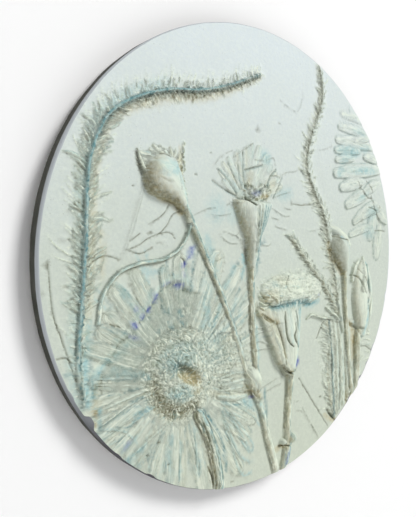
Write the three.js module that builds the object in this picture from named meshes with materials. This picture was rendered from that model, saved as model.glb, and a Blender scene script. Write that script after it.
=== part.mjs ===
// Round plaster wall plaque, cast in one piece from wild flowers pressed into clay.
//
// Frame: millimetres, +Z up, the relief faces -Y and the flat back lies on y = 0. The origin is
// the centre of the back, where the plaque meets the wall it hangs on.
//
// The relief is one rise over a flat ground, as on any cast from an open clay mould: nothing is
// undercut. Every plant is a function that gives its rise at a point (x, z) of the face. The
// highest plant wins, and the face is meshed finely where the rise turns and coarsely elsewhere.

import * as THREE from 'three';

// Casting
const RADIUS = 125;             // outer radius of the side wall
const SIDE_DEPTH = 6.6;         // height of the side wall above the back
const GROUND_DEPTH = 8.5;       // ground of the face above the back
const FACE_RADIUS = 123.8;      // where the ground ends and the shoulder falls to the side wall
const BACK_CHAMFER = 0.8;       // broken corner round the back
const RIM_FADE = 3;             // the relief sinks over this width as it reaches the rim
const RIM_KEEP = 0.45;          // share of its rise that is left at the rim itself

// Mesh
const CELLS = 256;              // cells along one side of the finest face grid
const FACE_TRIANGLES = 8400;    // budget of the face
const BROAD_FIRST = 0.6;        // how far large triangles are split before small ones
const OUTLINE_WEIGHT = 8;       // how much more the outline counts than the rise

// Plant sizes
const STALK_RISE = 4.2;
const LEAFLET = { length: 11, halfWidth: 1.5, rise: 2.4, spacing: 6.6, lean: 0.6 };
const DAISY = {
  x: -50, z: -58, discRadius: 19.5, discRise: 7.2, pitRadius: 5.5, pitDepth: 3.2,
  petals: 30, petalReach: 62, petalRise: 2.6,
};
const FAN = { x: -4, z: 32, reach: 28, petals: 9, rise: 2.2, from: 0.42, to: 2.75 };
const THISTLE = { x: 30, z: -19, halfWidth: 25.5, halfHeight: 10.5, rise: 6.6, lobes: 11 };
const FROND = { x: 104, z: 42, lobes: 7, lobeHalfWidth: 5.6, lobeReach: 19, rise: 1.8 };

const clamp01 = (value) => Math.min(1, Math.max(0, value));
const smooth = (value) => { const t = clamp01(value); return t * t * (3 - 2 * t); };
const mix = (a, b, t) => a + (b - a) * t;

/** Reads a list of evenly spaced values at t from 0 to 1, running straight between them. */
function along(values, t) {
  const place = clamp01(t) * (values.length - 1);
  const first = Math.min(Math.floor(place), values.length - 2);
  return mix(values[first], values[first + 1], place - first);
}

/** Limits a rise function to its box, so that far points cost nothing. */
function boxed(xMin, xMax, zMin, zMax, rise) {
  return (x, z) => (x < xMin || x > xMax || z < zMin || z > zMax ? 0 : rise(x, z));
}

/**
 * A rounded ridge along a smooth route. halfWidths and rises are read along the route, so the
 * same ridge is a stalk, a leaflet, or a bud or calyx lying on its side.
 */
function ridge(route, halfWidths, rises, roundness = 1) {
  const curve = new THREE.SplineCurve(route.map(([x, z]) => new THREE.Vector2(x, z)));
  const steps = Math.max(2, Math.round(curve.getLength() / 3));
  const spots = curve.getPoints(steps);
  const reach = Math.max(...halfWidths);
  const xs = spots.map((spot) => spot.x);
  const zs = spots.map((spot) => spot.y);
  return boxed(Math.min(...xs) - reach, Math.max(...xs) + reach,
    Math.min(...zs) - reach, Math.max(...zs) + reach, (x, z) => {
      let best = 0;
      for (let i = 0; i < steps; i += 1) {
        const a = spots[i];
        const dx = spots[i + 1].x - a.x;
        const dz = spots[i + 1].y - a.y;
        const share = clamp01(((x - a.x) * dx + (z - a.y) * dz) / (dx * dx + dz * dz));
        const t = (i + share) / steps;
        const gap = Math.hypot(x - a.x - share * dx, z - a.y - share * dz) / along(halfWidths, t);
        if (gap < 1) best = Math.max(best, along(rises, t) * (1 - gap * gap) ** roundness);
      }
      return best;
    });
}

/** A flat-topped oval swelling, turned by an angle. */
function swelling(x0, z0, halfLength, halfWidth, angle, rise, roundness = 0.7) {
  const cos = Math.cos(angle);
  const sin = Math.sin(angle);
  const reach = Math.max(halfLength, halfWidth);
  return boxed(x0 - reach, x0 + reach, z0 - reach, z0 + reach, (x, z) => {
    const u = ((x - x0) * cos + (z - z0) * sin) / halfLength;
    const v = ((z - z0) * cos - (x - x0) * sin) / halfWidth;
    const inside = 1 - u * u - v * v;
    return inside > 0 ? rise * inside ** roundness : 0;
  });
}

/** Leaflets set along both sides of a stalk's route, leaning towards its tip. */
function leaflets(route, leftLength, rightLength, leaflet = LEAFLET) {
  const curve = new THREE.SplineCurve(route.map(([x, z]) => new THREE.Vector2(x, z)));
  const count = Math.floor(curve.getLength() / leaflet.spacing);
  const blades = [];
  for (let i = 1; i <= count; i += 1) {
    const t = i / (count + 1);
    const root = curve.getPointAt(t);
    const heading = curve.getTangentAt(t).angle();
    const taper = mix(1, 0.45, smooth((t - 0.72) / 0.28));
    for (const [side, length] of [[1, leftLength], [-1, rightLength]]) {
      const reach = length * taper * (0.86 + 0.14 * Math.sin(i * 2.4 + side));
      const turn = heading + side * leaflet.lean * Math.PI / 2;
      const bend = heading + side * leaflet.lean * Math.PI / 3;
      const middle = [root.x + 0.55 * reach * Math.cos(turn), root.y + 0.55 * reach * Math.sin(turn)];
      const tip = [middle[0] + 0.45 * reach * Math.cos(bend), middle[1] + 0.45 * reach * Math.sin(bend)];
      blades.push(ridge([[root.x, root.y], middle, tip],
        [1.3, 1, 0.5].map((share) => share * leaflet.halfWidth),
        [1, 0.8, 0.3].map((share) => share * leaflet.rise)));
    }
  }
  return blades;
}

/** The big daisy: ray petals round a domed disc with a pit in it. */
function daisy({
  x: x0, z: z0, discRadius, discRise, pitRadius, pitDepth, petals, petalReach, petalRise,
}) {
  return (x, z) => {
    const radius = Math.hypot(x - x0, z - z0);
    if (radius > petalReach) return 0;
    const angle = Math.atan2(z - z0, x - x0) + 0.12 * Math.sin(radius / 17);
    const across = Math.abs(Math.sin(angle * petals / 2));
    const length = petalReach * (0.9 + 0.1 * Math.sin(angle * 5 + 1));
    const petal = petalRise * (0.15 + 0.85 * across) * smooth((length - radius) / 6);
    const share = radius / discRadius;
    const dome = share < 1 ? discRise * (1 - share ** 4) ** 0.8 : 0;
    const pit = pitDepth * Math.exp(-((radius / pitRadius) ** 2));
    return Math.max(petal, dome - pit);
  };
}

/** A fan of broad petals spread above a calyx, each ribbed down its middle. */
function fan({ x: x0, z: z0, reach, petals, rise, from, to }) {
  return boxed(x0 - reach, x0 + reach, z0, z0 + reach, (x, z) => {
    const radius = Math.hypot(x - x0, z - z0);
    const turn = (Math.atan2(z - z0, x - x0) - from) / (to - from);
    if (turn < 0 || turn > 1) return 0;
    const across = Math.abs(Math.sin(turn * petals * Math.PI));
    const edge = reach * (0.82 + 0.18 * across);
    const side = smooth(turn * 9) * smooth((1 - turn) * 9);
    return rise * side * (0.4 + 0.6 * across) * smooth((edge - radius) / 4);
  });
}

/** The thistle's fluffy head: a low dome broken into soft lobes, over the calyx. */
function thistleHead({ x: x0, z: z0, halfWidth, halfHeight, rise, lobes }) {
  return boxed(x0 - halfWidth, x0 + halfWidth, z0 - halfHeight, z0 + halfHeight, (x, z) => {
    const u = (x - x0) / halfWidth;
    const v = (z - z0) / halfHeight;
    const inside = 1 - u * u - v * v;
    if (inside <= 0) return 0;
    const tuft = 0.84 + 0.16 * Math.cos(u * lobes) * Math.cos(v * 4 + u * 3);
    return rise * inside ** 0.42 * tuft;
  });
}

/** The frond at the right: lobes that fan from the rim towards the middle of the face. */
function frond({ x: x0, z: z0, lobes, lobeHalfWidth, lobeReach, rise }) {
  return Array.from({ length: lobes }, (_, i) => {
    const turn = mix(-1, 1, i / (lobes - 1));
    const x = x0 - 15 + 12 * turn * turn;
    const z = z0 - 33 * turn;
    const angle = Math.PI + 0.55 * turn;
    return swelling(x, z, lobeReach * mix(1, 0.75, turn * turn), lobeHalfWidth, angle, rise, 0.45);
  });
}

// Routes of the stalks, from root to tip, each with only the bends it needs
const BOTTLEBRUSH = [[-104, -62], [-106, -40], [-103, 0], [-101, 40], [-97, 56], [-90, 68],
  [-76, 77], [-58, 83], [-36, 86], [-18, 91], [4, 100]];
const BUD_STALK = [[17, -121], [10, -100], [5, -83], [-3, -68], [-14, -40], [-28, -10], [-38, 9],
  [-44, 20], [-49, 28]];
const FAN_STALK = [[3, -72], [1, -55], [-1, -40], [-2.4, -12], [-2, 0]];
const THISTLE_STALK = [[24, -121], [27, -107], [26.5, -95], [28, -78], [28.3, -66]];
const DAISY_STALK = [[-25, -121], [-28, -104], [-34, -90], [-41, -79]];
const TENDRIL = [[-96, -27], [-94, -15], [-86, -5], [-74, -0.5], [-61, 1], [-51, 6], [-46, 15]];
const RIGHT_SPIKE = [[71, -24], [67, -8], [62, 8], [58, 25], [48, 40], [42.5, 54], [46, 70],
  [53, 86], [55, 95], [53, 109]];
const RIGHT_BUD_STALK = [[86, -90], [82, -73], [80, -55], [77.5, -30], [76, -8]];
const GRASS_EAR = [[71, -33], [57, -16], [43, -2], [29, 12]];
const LEAFY_STALK = [[88, -86], [90, -66], [90, -54], [93, -46]];
const LOW_SPIKE = [[67, -99], [66, -80], [65, -62], [62, -40]];

const plants = [
  ridge(BOTTLEBRUSH, [2.2, 2.2, 1.9, 1.3], [STALK_RISE, STALK_RISE, 3.6, 2]),
  ...leaflets(BOTTLEBRUSH, 10, LEAFLET.length),
  ridge(BUD_STALK, [2.8, 2.6, 2.4, 2.4], [4.4, 5, 5, 5]),
  ridge([[-47, 24], [-52, 32], [-56.5, 41], [-58, 49], [-58, 56]],
    [2.8, 8.4, 12.6, 11.6, 4], [5, 8.4, 9, 7.4, 2]),
  ridge([[-67, 42], [-72, 46], [-75.5, 52]], [4, 2, 0.8], [4, 2.4, 1]),
  ridge([[-50, 44], [-48, 51], [-48.5, 58]], [3, 1.8, 0.8], [5, 3.4, 1]),
  ridge(FAN_STALK, [2.6, 2.3, 2.4, 3], [4.2, 4, 4.2, 6]),
  ridge([[-2.4, -8], [-2, 0], [-1.5, 9], [-1.4, 20], [-1, 31]],
    [2.4, 3.4, 8.6, 11.6, 15.6], [4.2, 6, 7.6, 7.8, 6.8]),
  fan(FAN),
  ridge(THISTLE_STALK, [3.2, 4, 3.1, 3.1, 4], [4.4, 5.4, 5, 5.2, 6]),
  ridge([[28.3, -67], [27.6, -58], [27.4, -48], [27, -38], [27, -27]],
    [3.6, 8.6, 12, 15.4, 18.5], [5.6, 8, 8.2, 7.6, 6.6]),
  thistleHead(THISTLE),
  daisy(DAISY),
  ridge(DAISY_STALK, [3.8, 3.8, 3.6], [4.6, 5, 5.6]),
  ridge(TENDRIL, [1.3, 1.3, 1.4], [2.4, 2.6, 3]),
  ridge(RIGHT_SPIKE, [1.6, 2, 1.8, 1.3], [3.4, 3.8, 3.6, 2.6]),
  ...leaflets(RIGHT_SPIKE, 6.5, 5.5, { ...LEAFLET, spacing: 5, rise: 2.6 }),
  ridge(RIGHT_BUD_STALK, [2.2, 1.7, 1.6, 1.8], [3.4, 3.5, 3.5, 4.6]),
  ridge([[76, -9], [74.4, -1], [72.6, 5], [71.6, 13]], [2, 6.8, 9.2, 4], [4.6, 7.4, 8, 4]),
  ridge(GRASS_EAR, [2.6, 3, 3, 2], [3, 4, 4, 2.6]),
  ...leaflets(GRASS_EAR, 3.6, 3.6, { ...LEAFLET, spacing: 5.4, rise: 3, lean: 0.35 }),
  ridge(LEAFY_STALK, [4, 3.4, 3, 3], [3.4, 3.6, 4.4, 5]),
  ridge([[93.5, -50], [93.5, -40], [92.5, -30], [90, -20], [88, -13]],
    [2.6, 5.8, 7.8, 6.4, 3], [5, 7, 7.2, 6, 2.4]),
  ridge([[100, -26], [102, -14], [100, -4]], [3, 2.4, 1.2], [4.6, 3, 1.6]),
  ridge(LOW_SPIKE, [2.4, 2, 2, 1.6], [3.4, 3.2, 3.2, 3]),
  ...leaflets(LOW_SPIKE, 10, 4, { ...LEAFLET, rise: 2 }),
  ...frond(FROND),
];

/** Nicks and worn stretches of the rim: angle in degrees, how deep, how long. */
const RIM_WEAR = [
  { angle: 216, depth: 3.4, length: 9 },
  { angle: 234, depth: 1.2, length: 7 },
  { angle: 319, depth: 1.8, length: 6 },
  { angle: 330, depth: 0.9, length: 7 },
];

/** Radius at which the face ends, in the direction of an angle in radians. */
function faceRadius(angle) {
  const worn = RIM_WEAR.reduce((sum, { angle: degrees, depth, length }) => {
    const away = angle - THREE.MathUtils.degToRad(degrees);
    const distance = RADIUS * Math.atan2(Math.sin(away), Math.cos(away));
    return sum + depth * Math.exp(-((2 * distance / length) ** 4));
  }, 0);
  return FACE_RADIUS - worn;
}

/** Rise of the relief over the ground, sinking as it reaches the rim. */
function rise(x, z) {
  const highest = plants.reduce((top, plant) => Math.max(top, plant(x, z)), 0);
  const inside = faceRadius(Math.atan2(z, x)) - Math.hypot(x, z);
  return highest * mix(RIM_KEEP, 1, smooth(inside / RIM_FADE));
}

/** Places one knot of the square grid on the round face: square rings become circles. */
function facePoint(column, row) {
  const u = column / CELLS * 2 - 1;
  const v = row / CELLS * 2 - 1;
  const ring = Math.max(Math.abs(u), Math.abs(v));
  if (ring === 0) return [0, -GROUND_DEPTH - rise(0, 0), 0];
  let angle = Math.PI / 4 * (v / ring);
  if (ring === -u) angle = Math.PI - angle;
  else if (ring === v) angle = Math.PI / 2 - Math.PI / 4 * (u / ring);
  else if (ring === -v) angle = -Math.PI / 2 + Math.PI / 4 * (u / ring);
  const radius = ring * faceRadius(angle);
  const x = radius * Math.cos(angle);
  const z = radius * Math.sin(angle);
  return [x, -GROUND_DEPTH - rise(x, z), z];
}

/**
 * Meshes the face with right-angled triangles that are halved wherever the surface leaves the
 * straight line between their two far corners. A knot's error includes the errors of the
 * knots that depend on it, so neighbours always meet corner to corner.
 */
function meshFace() {
  const side = CELLS + 1;
  const knots = [];
  for (let row = 0; row < side; row += 1) {
    for (let column = 0; column < side; column += 1) knots.push(facePoint(column, row));
  }
  const errors = new Float64Array(side * side);

  function judge(column, row, dColumn, dRow, children) {
    const here = knots[row * side + column];
    const one = knots[(row - dRow) * side + column - dColumn];
    const two = knots[(row + dRow) * side + column + dColumn];
    const onRim = row === 0 || column === 0 || row === CELLS || column === CELLS;
    const outline = Math.hypot(here[0] - (one[0] + two[0]) / 2, here[2] - (one[2] + two[2]) / 2);
    const half = Math.max(Math.abs(dColumn), Math.abs(dRow));
    let error = Math.abs(here[1] - (one[1] + two[1]) / 2) * half ** BROAD_FIRST;
    if (onRim) error += OUTLINE_WEIGHT * outline;
    for (const [offColumn, offRow] of children) {
      const c = column + offColumn;
      const r = row + offRow;
      if (c >= 0 && r >= 0 && c < side && r < side) error = Math.max(error, errors[r * side + c]);
    }
    errors[row * side + column] = error;
  }

  for (let half = 1; half < CELLS; half *= 2) {
    const quarter = half / 2;
    const corners = [[-1, -1], [1, -1], [-1, 1], [1, 1]].map(([c, r]) => [c * quarter, r * quarter]);
    for (let row = 0; row < side; row += half) {
      const odd = (row / half) % 2 === 1;
      for (let column = odd ? 0 : half; column < side; column += 2 * half) {
        judge(column, row, odd ? 0 : half, odd ? half : 0, half > 1 ? corners : []);
      }
    }
    const sides = [[-half, 0], [half, 0], [0, -half], [0, half]];
    for (let row = half; row < side; row += 2 * half) {
      for (let column = half; column < side; column += 2 * half) {
        const even = ((column - half) / (2 * half) + (row - half) / (2 * half)) % 2 === 0;
        judge(column, row, half, even ? half : -half, sides);
      }
    }
  }

  function split(limit) {
    const triangles = [];
    const visit = (ac, ar, bc, br, cc, cr) => {
      const mc = (ac + bc) / 2;
      const mr = (ar + br) / 2;
      if (Number.isInteger(mc) && Number.isInteger(mr) && errors[mr * side + mc] > limit) {
        visit(cc, cr, ac, ar, mc, mr);
        visit(bc, br, cc, cr, mc, mr);
      } else {
        triangles.push([ar * side + ac, cr * side + cc, br * side + bc]);
      }
    };
    visit(0, 0, CELLS, CELLS, CELLS, 0);
    visit(CELLS, CELLS, 0, 0, 0, CELLS);
    return triangles;
  }

  let low = 0.01;
  let high = 8;
  for (let pass = 0; pass < 24; pass += 1) {
    const middle = (low + high) / 2;
    if (split(middle).length > FACE_TRIANGLES) low = middle;
    else high = middle;
  }
  return { knots, side, triangles: split(high) };
}

/** Closes the face into one solid: shoulder, side wall, chamfer and flat back. */
function castPlaque() {
  const { knots, side, triangles } = meshFace();
  const positions = [];
  const indexOf = new Map();
  const vertex = (point) => positions.push(...point) / 3 - 1;
  const knotVertex = (knot) => {
    if (!indexOf.has(knot)) indexOf.set(knot, vertex(knots[knot]));
    return indexOf.get(knot);
  };
  const faces = triangles.map((corners) => corners.map(knotVertex));

  const rimOrder = [];
  for (let i = 0; i < CELLS; i += 1) rimOrder.push(i);
  for (let i = 0; i < CELLS; i += 1) rimOrder.push(i * side + CELLS);
  for (let i = CELLS; i > 0; i -= 1) rimOrder.push(CELLS * side + i);
  for (let i = CELLS; i > 0; i -= 1) rimOrder.push(i * side);
  const rim = rimOrder.filter((knot) => indexOf.has(knot));

  let loop = rim.map((knot) => indexOf.get(knot));
  const levels = [[RADIUS, SIDE_DEPTH], [RADIUS, BACK_CHAMFER], [RADIUS - BACK_CHAMFER, 0]];
  for (const [radius, depth] of levels) {
    const next = rim.map((knot) => {
      const angle = Math.atan2(knots[knot][2], knots[knot][0]);
      return vertex([radius * Math.cos(angle), -depth, radius * Math.sin(angle)]);
    });
    loop.forEach((here, i) => {
      const following = (i + 1) % loop.length;
      faces.push([here, next[i], next[following]], [here, next[following], loop[following]]);
    });
    loop = next;
  }
  const outline = loop.map((index) => new THREE.Vector2(positions[index * 3], positions[index * 3 + 2]));
  for (const [a, b, c] of THREE.ShapeUtils.triangulateShape(outline, [])) {
    faces.push([loop[a], loop[c], loop[b]]);
  }

  const geometry = new THREE.BufferGeometry();
  geometry.setAttribute('position', new THREE.Float32BufferAttribute(positions, 3));
  geometry.setIndex(faces.flat());
  geometry.computeVertexNormals();
  return geometry;
}

const plaster = new THREE.MeshStandardMaterial({ color: 0xcfd9d2, roughness: 0.85, metalness: 0 });
const plaque = new THREE.Mesh(castPlaque(), plaster);
plaque.name = 'plaque';

const group = new THREE.Group();
group.add(plaque);

export default group;
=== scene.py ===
"""Looks of a round plaster wall plaque, cast in one piece from wild flowers pressed into clay.

The relief is worked out as one rise over the flat ground of the face, on a fine raster in
millimetres: x to the right, z up, the rise towards the viewer. Each plant is a class that presses
itself into the raster and leaves its washes of colour there. The raster is then cast: a round face
of right-angled triangles, fine where the relief turns, with its shoulder, side wall and back.
"""
import logging
import math
from dataclasses import dataclass, field
from enum import Enum
from typing import Mapping, Sequence

import bpy
import numpy as np
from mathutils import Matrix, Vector


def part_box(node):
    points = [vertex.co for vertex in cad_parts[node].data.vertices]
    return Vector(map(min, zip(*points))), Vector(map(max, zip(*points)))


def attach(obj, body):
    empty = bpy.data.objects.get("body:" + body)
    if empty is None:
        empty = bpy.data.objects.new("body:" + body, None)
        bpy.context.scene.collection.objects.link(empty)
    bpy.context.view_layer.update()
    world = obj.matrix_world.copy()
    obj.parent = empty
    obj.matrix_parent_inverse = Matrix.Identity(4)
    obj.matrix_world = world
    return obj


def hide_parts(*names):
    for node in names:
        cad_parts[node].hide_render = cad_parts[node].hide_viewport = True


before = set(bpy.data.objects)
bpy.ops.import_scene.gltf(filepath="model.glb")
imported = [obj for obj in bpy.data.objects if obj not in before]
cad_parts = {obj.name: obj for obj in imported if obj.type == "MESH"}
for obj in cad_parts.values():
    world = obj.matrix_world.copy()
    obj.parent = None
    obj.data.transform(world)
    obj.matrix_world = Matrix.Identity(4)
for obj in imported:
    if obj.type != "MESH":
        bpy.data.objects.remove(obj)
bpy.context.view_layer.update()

LOG = logging.getLogger("plaque")
MM = 0.001

Flat = Sequence[float]
Values = float | Sequence[float]
Window = tuple[slice, slice, np.ndarray, np.ndarray]
Row = tuple[object, ...]
Colour = tuple[float, ...]


# ---------------------------------------------------------------- small maths

def clamp(values: np.ndarray) -> np.ndarray:
    """Holds values between 0 and 1."""
    return np.clip(values, 0.0, 1.0)


def smooth(values: np.ndarray) -> np.ndarray:
    """Eases 0 to 1 with no corner at either end: 3t² - 2t³."""
    share = clamp(values)
    return share * share * (3.0 - 2.0 * share)


def spread(values: Values, share: np.ndarray) -> np.ndarray:
    """Reads evenly spaced values at a share of the way along them. One value is held throughout."""
    held = np.atleast_1d(values)
    return np.interp(share, np.linspace(0.0, 1.0, len(held)), held)


def spline(flat: Flat, step: float = 1.0) -> np.ndarray:
    """Runs a smooth curve through a few points and cuts it into even steps.

    Between two points the curve is the Catmull-Rom cubic, whose slope at a point is half the way
    from the point before to the point after.

    Args:
        flat: The bends of the curve in millimetres: x, z, x, z and so on.
        step: Length of one step.

    Returns:
        An array of (x, z) rows, evenly spaced along the curve.
    """
    knots = np.asarray(flat, float).reshape(-1, 2)
    dense = knots
    if len(knots) > 2:
        padded = np.vstack([2 * knots[0] - knots[1], knots, 2 * knots[-1] - knots[-2]])
        u = np.linspace(0.0, 1.0, 16, endpoint=False)[None, :, None]
        a, b, c, d = (padded[i:len(padded) - 3 + i][:, None, :] for i in range(4))
        cubic = b + 0.5 * u * (c - a + u * (2 * a - 5 * b + 4 * c - d + u * (3 * (b - c) + d - a)))
        dense = np.vstack([cubic.reshape(-1, 2), knots[-1]])
    run = np.concatenate([[0.0], np.cumsum(np.hypot(*np.diff(dense, axis=0).T))])
    even = np.linspace(0.0, run[-1], max(2, int(round(run[-1] / step)) + 1))
    return np.stack([np.interp(even, run, dense[:, 0]), np.interp(even, run, dense[:, 1])], axis=1)


def beside(flat: Flat, offset: Values) -> np.ndarray:
    """Moves a route sideways, to its left where the offset is above 0. The result is flat too.

    Args:
        flat: The bends of the route.
        offset: How far it moves, as one value or several along it.

    Returns:
        The bends of the moved route.
    """
    path = spline(flat, 4.0)
    ahead = np.gradient(path, axis=0)
    ahead /= np.hypot(*ahead.T)[:, None]
    off = spread(offset, np.linspace(0.0, 1.0, len(path)))[:, None]
    return (path + off * np.stack([-ahead[:, 1], ahead[:, 0]], axis=1)).ravel()


def cloud(x: np.ndarray, z: np.ndarray, size: float, seed: int) -> np.ndarray:
    """Soft random hills from -1 to 1: random heights on a lattice, eased between its knots.

    Args:
        x: Places across, in millimetres.
        z: Places up, in millimetres.
        size: Width of one hill.
        seed: Picks the pattern.

    Returns:
        One height for each place.
    """
    lattice = np.random.default_rng(seed).uniform(-1.0, 1.0, (512, 512)).astype(np.float32)
    u, v = x / size + 200.0, z / size + 200.0
    column, row = np.floor(u).astype(np.int32), np.floor(v).astype(np.int32)
    across, up = smooth(u - column), smooth(v - row)
    column, row = column % 512, row % 512
    beyond, over = (column + 1) % 512, (row + 1) % 512
    low = lattice[row, column] * (1 - across) + lattice[row, beyond] * across
    high = lattice[over, column] * (1 - across) + lattice[over, beyond] * across
    return low * (1 - up) + high * up


def soften(image: np.ndarray, reach: int) -> np.ndarray:
    """Blurs a raster with three running means in each direction, which is close to a bell curve.

    Args:
        image: The raster.
        reach: How many values each mean takes in on either side.

    Returns:
        The blurred raster.
    """
    for _ in range(3):
        for axis in (0, 1):
            margin = [(reach + 1, reach) if axis == k else (0, 0) for k in (0, 1)]
            total = np.cumsum(np.pad(image, margin, "edge"), axis, dtype=np.float64)
            size, wide = image.shape[axis], 2 * reach + 1
            ahead, behind = np.take(total, range(wide, wide + size), axis), np.take(total, range(size), axis)
            image = ((ahead - behind) / wide).astype(np.float32)
    return image


# ---------------------------------------------------------------- the clay

class Wash(Enum):
    """The thin colours a plant or brush leaves in the surface, painted shade and highlight among them."""

    PALE_AND_HIGHLIGHT = "pale"
    BLUE = "blue"
    TEAL = "teal"
    OCHRE_AND_SHADE = "ochre"
    UMBER_AND_SHADE = "umber"
    ULTRAMARINE = "ultramarine"


PALE_AND_HIGHLIGHT, BLUE, TEAL, OCHRE_AND_SHADE, UMBER_AND_SHADE, ULTRAMARINE = Wash


@dataclass(frozen=True)
class Form:
    """Cross-section of a strip. u runs from -1 at its right edge to 1 at its left edge.

    The rise is (1 - |u|^square)^round_ · (1 + tilt · u). Ribs run along the strip, and fibres
    roughen it with streaks that are 1 / run times as long as they are wide. In the finish, rough is
    how strongly the fibres show, and a weave over 1 makes them that much finer. A blunt strip ends
    that many millimetres past its route, where others end in a half circle.
    """

    square: float = 2.0
    round_: float = 0.65
    tilt: float = 0.0
    ribs: float = 0.0
    rib_rise: float = 0.0
    fibre: float = 0.2
    fibre_size: float = 0.8
    rough: float = 1.0
    blunt: float = 0.0
    run: float = 0.2
    weave: float = 1.0


@dataclass
class Layer:
    """A raster of rises over the ground, one value every pitch, in millimetres."""

    half: float = 127.0
    pitch: float = 0.2
    rise: np.ndarray = field(init=False, repr=False)
    axis: np.ndarray = field(init=False, repr=False)

    def __post_init__(self) -> None:
        """Lays out an empty raster."""
        count = int(round(2 * self.half / self.pitch)) + 1
        self.axis = np.linspace(-self.half, self.half, count).astype(np.float32)
        self.rise = np.zeros((count, count), np.float32)

    def window(self, low: Flat, high: Flat) -> Window:
        """Finds the part of the raster between two corners.

        Args:
            low: The (x, z) of the lower left corner.
            high: The (x, z) of the upper right corner.

        Returns:
            The rows, the columns, and the x and z of what they hold.
        """
        last = len(self.axis)
        start = np.clip(np.floor((np.asarray(low) + self.half) / self.pitch).astype(int), 0, last)
        stop = np.clip(np.ceil((np.asarray(high) + self.half) / self.pitch).astype(int) + 1, 0, last)
        rows, columns = slice(start[1], stop[1]), slice(start[0], stop[0])
        return rows, columns, self.axis[None, columns], self.axis[rows, None]

    def length(self, a: np.ndarray, b: np.ndarray, wide: Flat, high: Flat, round_: float,
               image: np.ndarray) -> None:
        """Raises one straight rounded length, where it stands higher than what is there.

        At a distance d from the line the rise is high · (1 - (d / wide)²) to the power round_.

        Args:
            a: Its start.
            b: Its end.
            wide: Half widths at its start and end.
            high: Rises at its start and end.
            round_: The power.
            image: The raster to raise.
        """
        reach = max(wide)
        rows, columns, x, z = self.window(np.minimum(a, b) - reach, np.maximum(a, b) + reach)
        d = b - a
        t = clamp(((x - a[0]) * d[0] + (z - a[1]) * d[1]) / max(d @ d, 1e-9))
        off = (x - a[0] - t * d[0]) ** 2 + (z - a[1] - t * d[1]) ** 2
        inside = np.maximum(0.0, 1.0 - off / (wide[0] + (wide[1] - wide[0]) * t) ** 2)
        value = (high[0] + (high[1] - high[0]) * t) * (inside if round_ == 1 else inside ** round_)
        image[rows, columns] = np.maximum(image[rows, columns], value)

    def ridge(self, route: Flat, widths: Values, rises: Values, round_: float = 1.0,
              image: np.ndarray | None = None) -> None:
        """Raises a rounded ridge along a route.

        Args:
            route: The bends of the route.
            widths: Half widths along it.
            rises: Rises along it.
            round_: Below 1 the flanks are steep, above 1 they are hollow.
            image: The raster to raise, or None for this layer's own.
        """
        path = spline(route)
        share = np.linspace(0.0, 1.0, len(path))
        wide, high = spread(widths, share), spread(rises, share)
        for i in range(len(path) - 1):
            self.length(path[i], path[i + 1], wide[i:i + 2], high[i:i + 2], round_,
                        self.rise if image is None else image)

    def hair(self, place: Flat, way: float, long: float, bend: float, wide: float, high: float) -> None:
        """Raises one tapering hair of three straight lengths.

        Args:
            place: The (x, z) of its root.
            way: Its direction half way along, in radians from +x.
            long: Its length.
            bend: How far it turns from root to tip, in radians.
            wide: Its half width.
            high: Its rise.
        """
        turns = way + bend * np.array([-0.5, 0.0, 0.5])
        steps = np.stack([np.cos(turns), np.sin(turns)], axis=1) * long / 3
        points = np.asarray(place) + np.vstack([[0.0, 0.0], np.cumsum(steps, axis=0)])
        for i, (w0, w1, h0, h1) in enumerate(((1, 1, 0.9, 1), (1, 0.85, 1, 0.75), (0.85, 0.5, 0.75, 0.2))):
            self.length(points[i], points[i + 1], (wide * w0, wide * w1), (high * h0, high * h1), 1.0,
                self.rise)

    def mound(self, oval: Flat, rise: float, round_: float = 1.0, image: np.ndarray | None = None) -> None:
        """Raises an oval mound: rise · (1 - u² - v²) to a power, u and v along its two axes.

        Args:
            oval: Centre x and z, half length, half width, and the angle of its length in degrees.
            rise: Rise at its middle.
            round_: The power.
            image: The raster to raise, or None for this layer's own.
        """
        x0, z0, long, wide, turn = oval
        image = self.rise if image is None else image
        reach = max(long, wide)
        rows, columns, x, z = self.window((x0 - reach, z0 - reach), (x0 + reach, z0 + reach))
        cos, sin = math.cos(math.radians(turn)), math.sin(math.radians(turn))
        u = ((x - x0) * cos + (z - z0) * sin) / long
        v = ((z - z0) * cos - (x - x0) * sin) / wide
        value = rise * np.maximum(0.0, 1.0 - u * u - v * v) ** round_
        image[rows, columns] = np.maximum(image[rows, columns], value)


@dataclass(frozen=True)
class Fringe:
    """How the hairs along one side of a stalk are set. Lengths and leans are read along the stalk."""

    side: int
    spacing: float
    lengths: Values
    leans: Values
    curl: float
    width: float
    rise: float
    scatter: float = 0.18
    root: float = 0.6
    start: float = 0.0
    stop: float = 1.0


@dataclass(frozen=True)
class Sprig:
    """How the leaflets along one side of a stalk are set, and how strongly each colour takes."""

    side: int
    gap: float
    lengths: Values
    lean: float
    width: float
    rise: float
    start: float = 0.0
    stop: float = 1.0
    blue: float = 0.5
    shade: float = 0.5
    ochre: float = 0.2


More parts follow.
